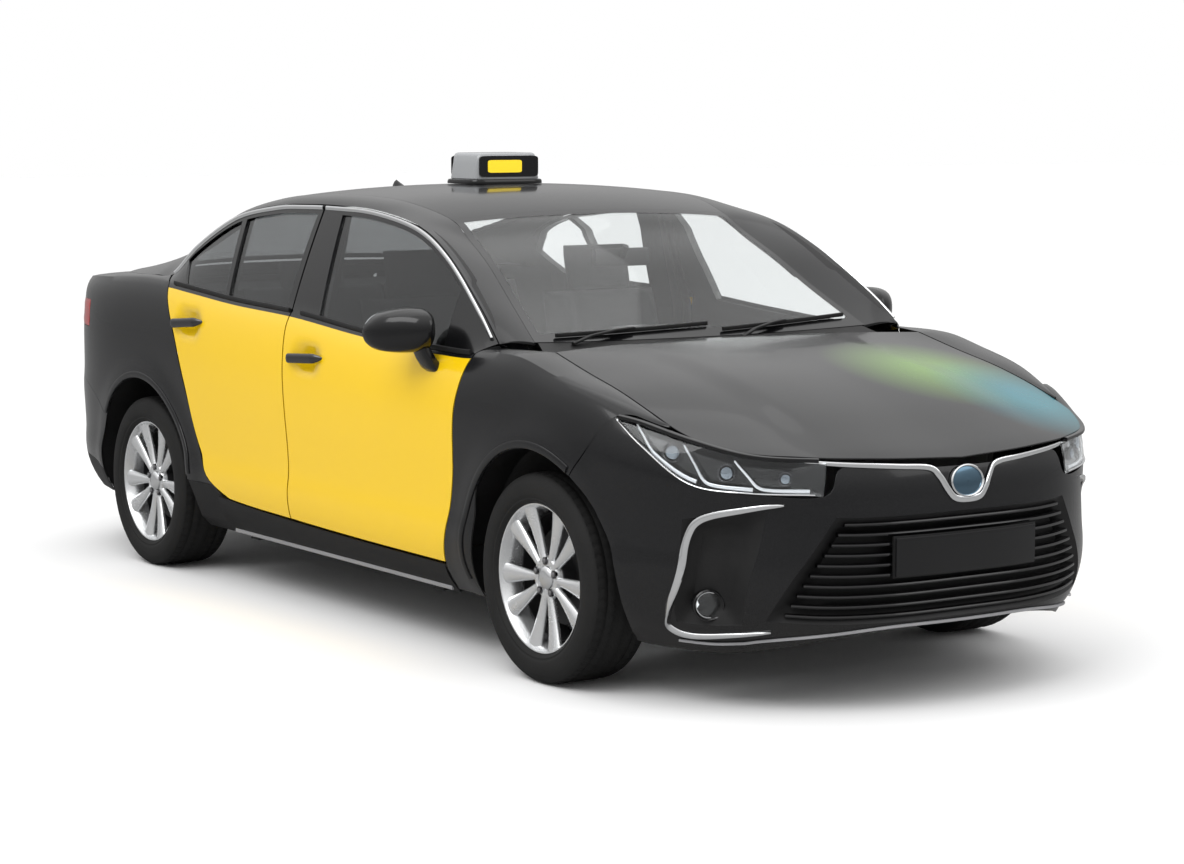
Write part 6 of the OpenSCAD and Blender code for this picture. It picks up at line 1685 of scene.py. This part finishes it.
class TAXI_OT_fenders(bpy.types.Operator):
    """Adds the front fenders"""
    bl_idname, bl_label = "taxi.fenders", "Fenders"

    def execute(self, context):
        build_fenders()
        return {"FINISHED"}


class TAXI_OT_linings(bpy.types.Operator):
    """Adds the linings of the wheel arches and the fender baffles"""
    bl_idname, bl_label = "taxi.linings", "Arch linings"

    def execute(self, context):
        build_linings()
        return {"FINISHED"}


class TAXI_OT_front(bpy.types.Operator):
    """Adds the front bumper with its grille, plate, badge, fog lamps and strips"""
    bl_idname, bl_label = "taxi.front", "Front bumper"

    def execute(self, context):
        build_front_bumper()
        return {"FINISHED"}


class TAXI_OT_headlamps(bpy.types.Operator):
    """Adds the headlamps"""
    bl_idname, bl_label = "taxi.headlamps", "Headlamps"

    def execute(self, context):
        build_headlamps()
        return {"FINISHED"}


class TAXI_OT_doors(bpy.types.Operator):
    """Adds the four doors with handles, strips and glass"""
    bl_idname, bl_label = "taxi.doors", "Doors"

    def execute(self, context):
        build_doors()
        return {"FINISHED"}


class TAXI_OT_quarters(bpy.types.Operator):
    """Adds the quarter panels and tail lamps"""
    bl_idname, bl_label = "taxi.quarters", "Quarter panels"

    def execute(self, context):
        build_quarters()
        return {"FINISHED"}


class TAXI_OT_tail(bpy.types.Operator):
    """Adds the rear bumper, boot lid and rear plate"""
    bl_idname, bl_label = "taxi.tail", "Tail"

    def execute(self, context):
        build_tail()
        return {"FINISHED"}


class TAXI_OT_roof(bpy.types.Operator):
    """Adds the roof, side rails and screens"""
    bl_idname, bl_label = "taxi.roof", "Roof and screens"

    def execute(self, context):
        build_roof()
        return {"FINISHED"}


class TAXI_OT_sills(bpy.types.Operator):
    """Adds the sill skirts"""
    bl_idname, bl_label = "taxi.sills", "Sill skirts"

    def execute(self, context):
        build_sills()
        return {"FINISHED"}


class TAXI_OT_wheels(bpy.types.Operator):
    """Adds the wheels and tyres"""
    bl_idname, bl_label = "taxi.wheels", "Wheels"

    def execute(self, context):
        build_wheels()
        return {"FINISHED"}


class TAXI_OT_mirrors(bpy.types.Operator):
    """Adds the door mirrors"""
    bl_idname, bl_label = "taxi.mirrors", "Door mirrors"

    def execute(self, context):
        build_mirrors()
        return {"FINISHED"}


class TAXI_OT_cabin(bpy.types.Operator):
    """Adds the seats, dashboard, steering wheel, pillar seals and inner mirror"""
    bl_idname, bl_label = "taxi.cabin", "Cabin"

    def execute(self, context):
        build_cabin()
        return {"FINISHED"}


class TAXI_OT_engine(bpy.types.Operator):
    """Adds the engine, radiator and battery"""
    bl_idname, bl_label = "taxi.engine", "Engine bay"

    def execute(self, context):
        build_engine()
        return {"FINISHED"}


class TAXI_OT_fittings(bpy.types.Operator):
    """Adds the roof sign, fin aerial and wipers"""
    bl_idname, bl_label = "taxi.fittings", "Roof sign and wipers"

    def execute(self, context):
        build_roof_fittings()
        return {"FINISHED"}


OPERATORS = (TAXI_OT_finishes, TAXI_OT_hood, TAXI_OT_fenders, TAXI_OT_front, TAXI_OT_headlamps, TAXI_OT_doors,
             TAXI_OT_quarters, TAXI_OT_tail, TAXI_OT_roof, TAXI_OT_sills, TAXI_OT_wheels, TAXI_OT_mirrors,
             TAXI_OT_cabin, TAXI_OT_engine, TAXI_OT_fittings, TAXI_OT_linings, TAXI_OT_stage)


class TAXI_PT_panel(bpy.types.Panel):
    """Lists the taxi's operators in the sidebar"""
    bl_idname, bl_label = "TAXI_PT_panel", "Saloon taxi"
    bl_space_type, bl_region_type, bl_category = "VIEW_3D", "UI", "Taxi"

    def draw(self, context):
        for op in OPERATORS:
            self.layout.operator(op.bl_idname)


CLASSES = (TaxiColours, TaxiSizes, TaxiStage) + OPERATORS + (TAXI_PT_panel,)


def register():
    """Registers the classes and the scene's settings."""
    for cls in CLASSES:
        bpy.utils.register_class(cls)
    bpy.types.Scene.taxi_colours = bpy.props.PointerProperty(type=TaxiColours)
    bpy.types.Scene.taxi_sizes = bpy.props.PointerProperty(type=TaxiSizes)
    bpy.types.Scene.taxi_stage = bpy.props.PointerProperty(type=TaxiStage)


def unregister():
    """Takes the settings and classes out again."""
    del bpy.types.Scene.taxi_stage
    del bpy.types.Scene.taxi_sizes
    del bpy.types.Scene.taxi_colours
    for cls in reversed(CLASSES):
        bpy.utils.unregister_class(cls)


def main():
    """Builds the taxi and its stage."""
    register()
    for op in OPERATORS:
        getattr(bpy.ops.taxi, op.bl_idname.split(".")[1])()


if __name__ == "__main__":
    main()
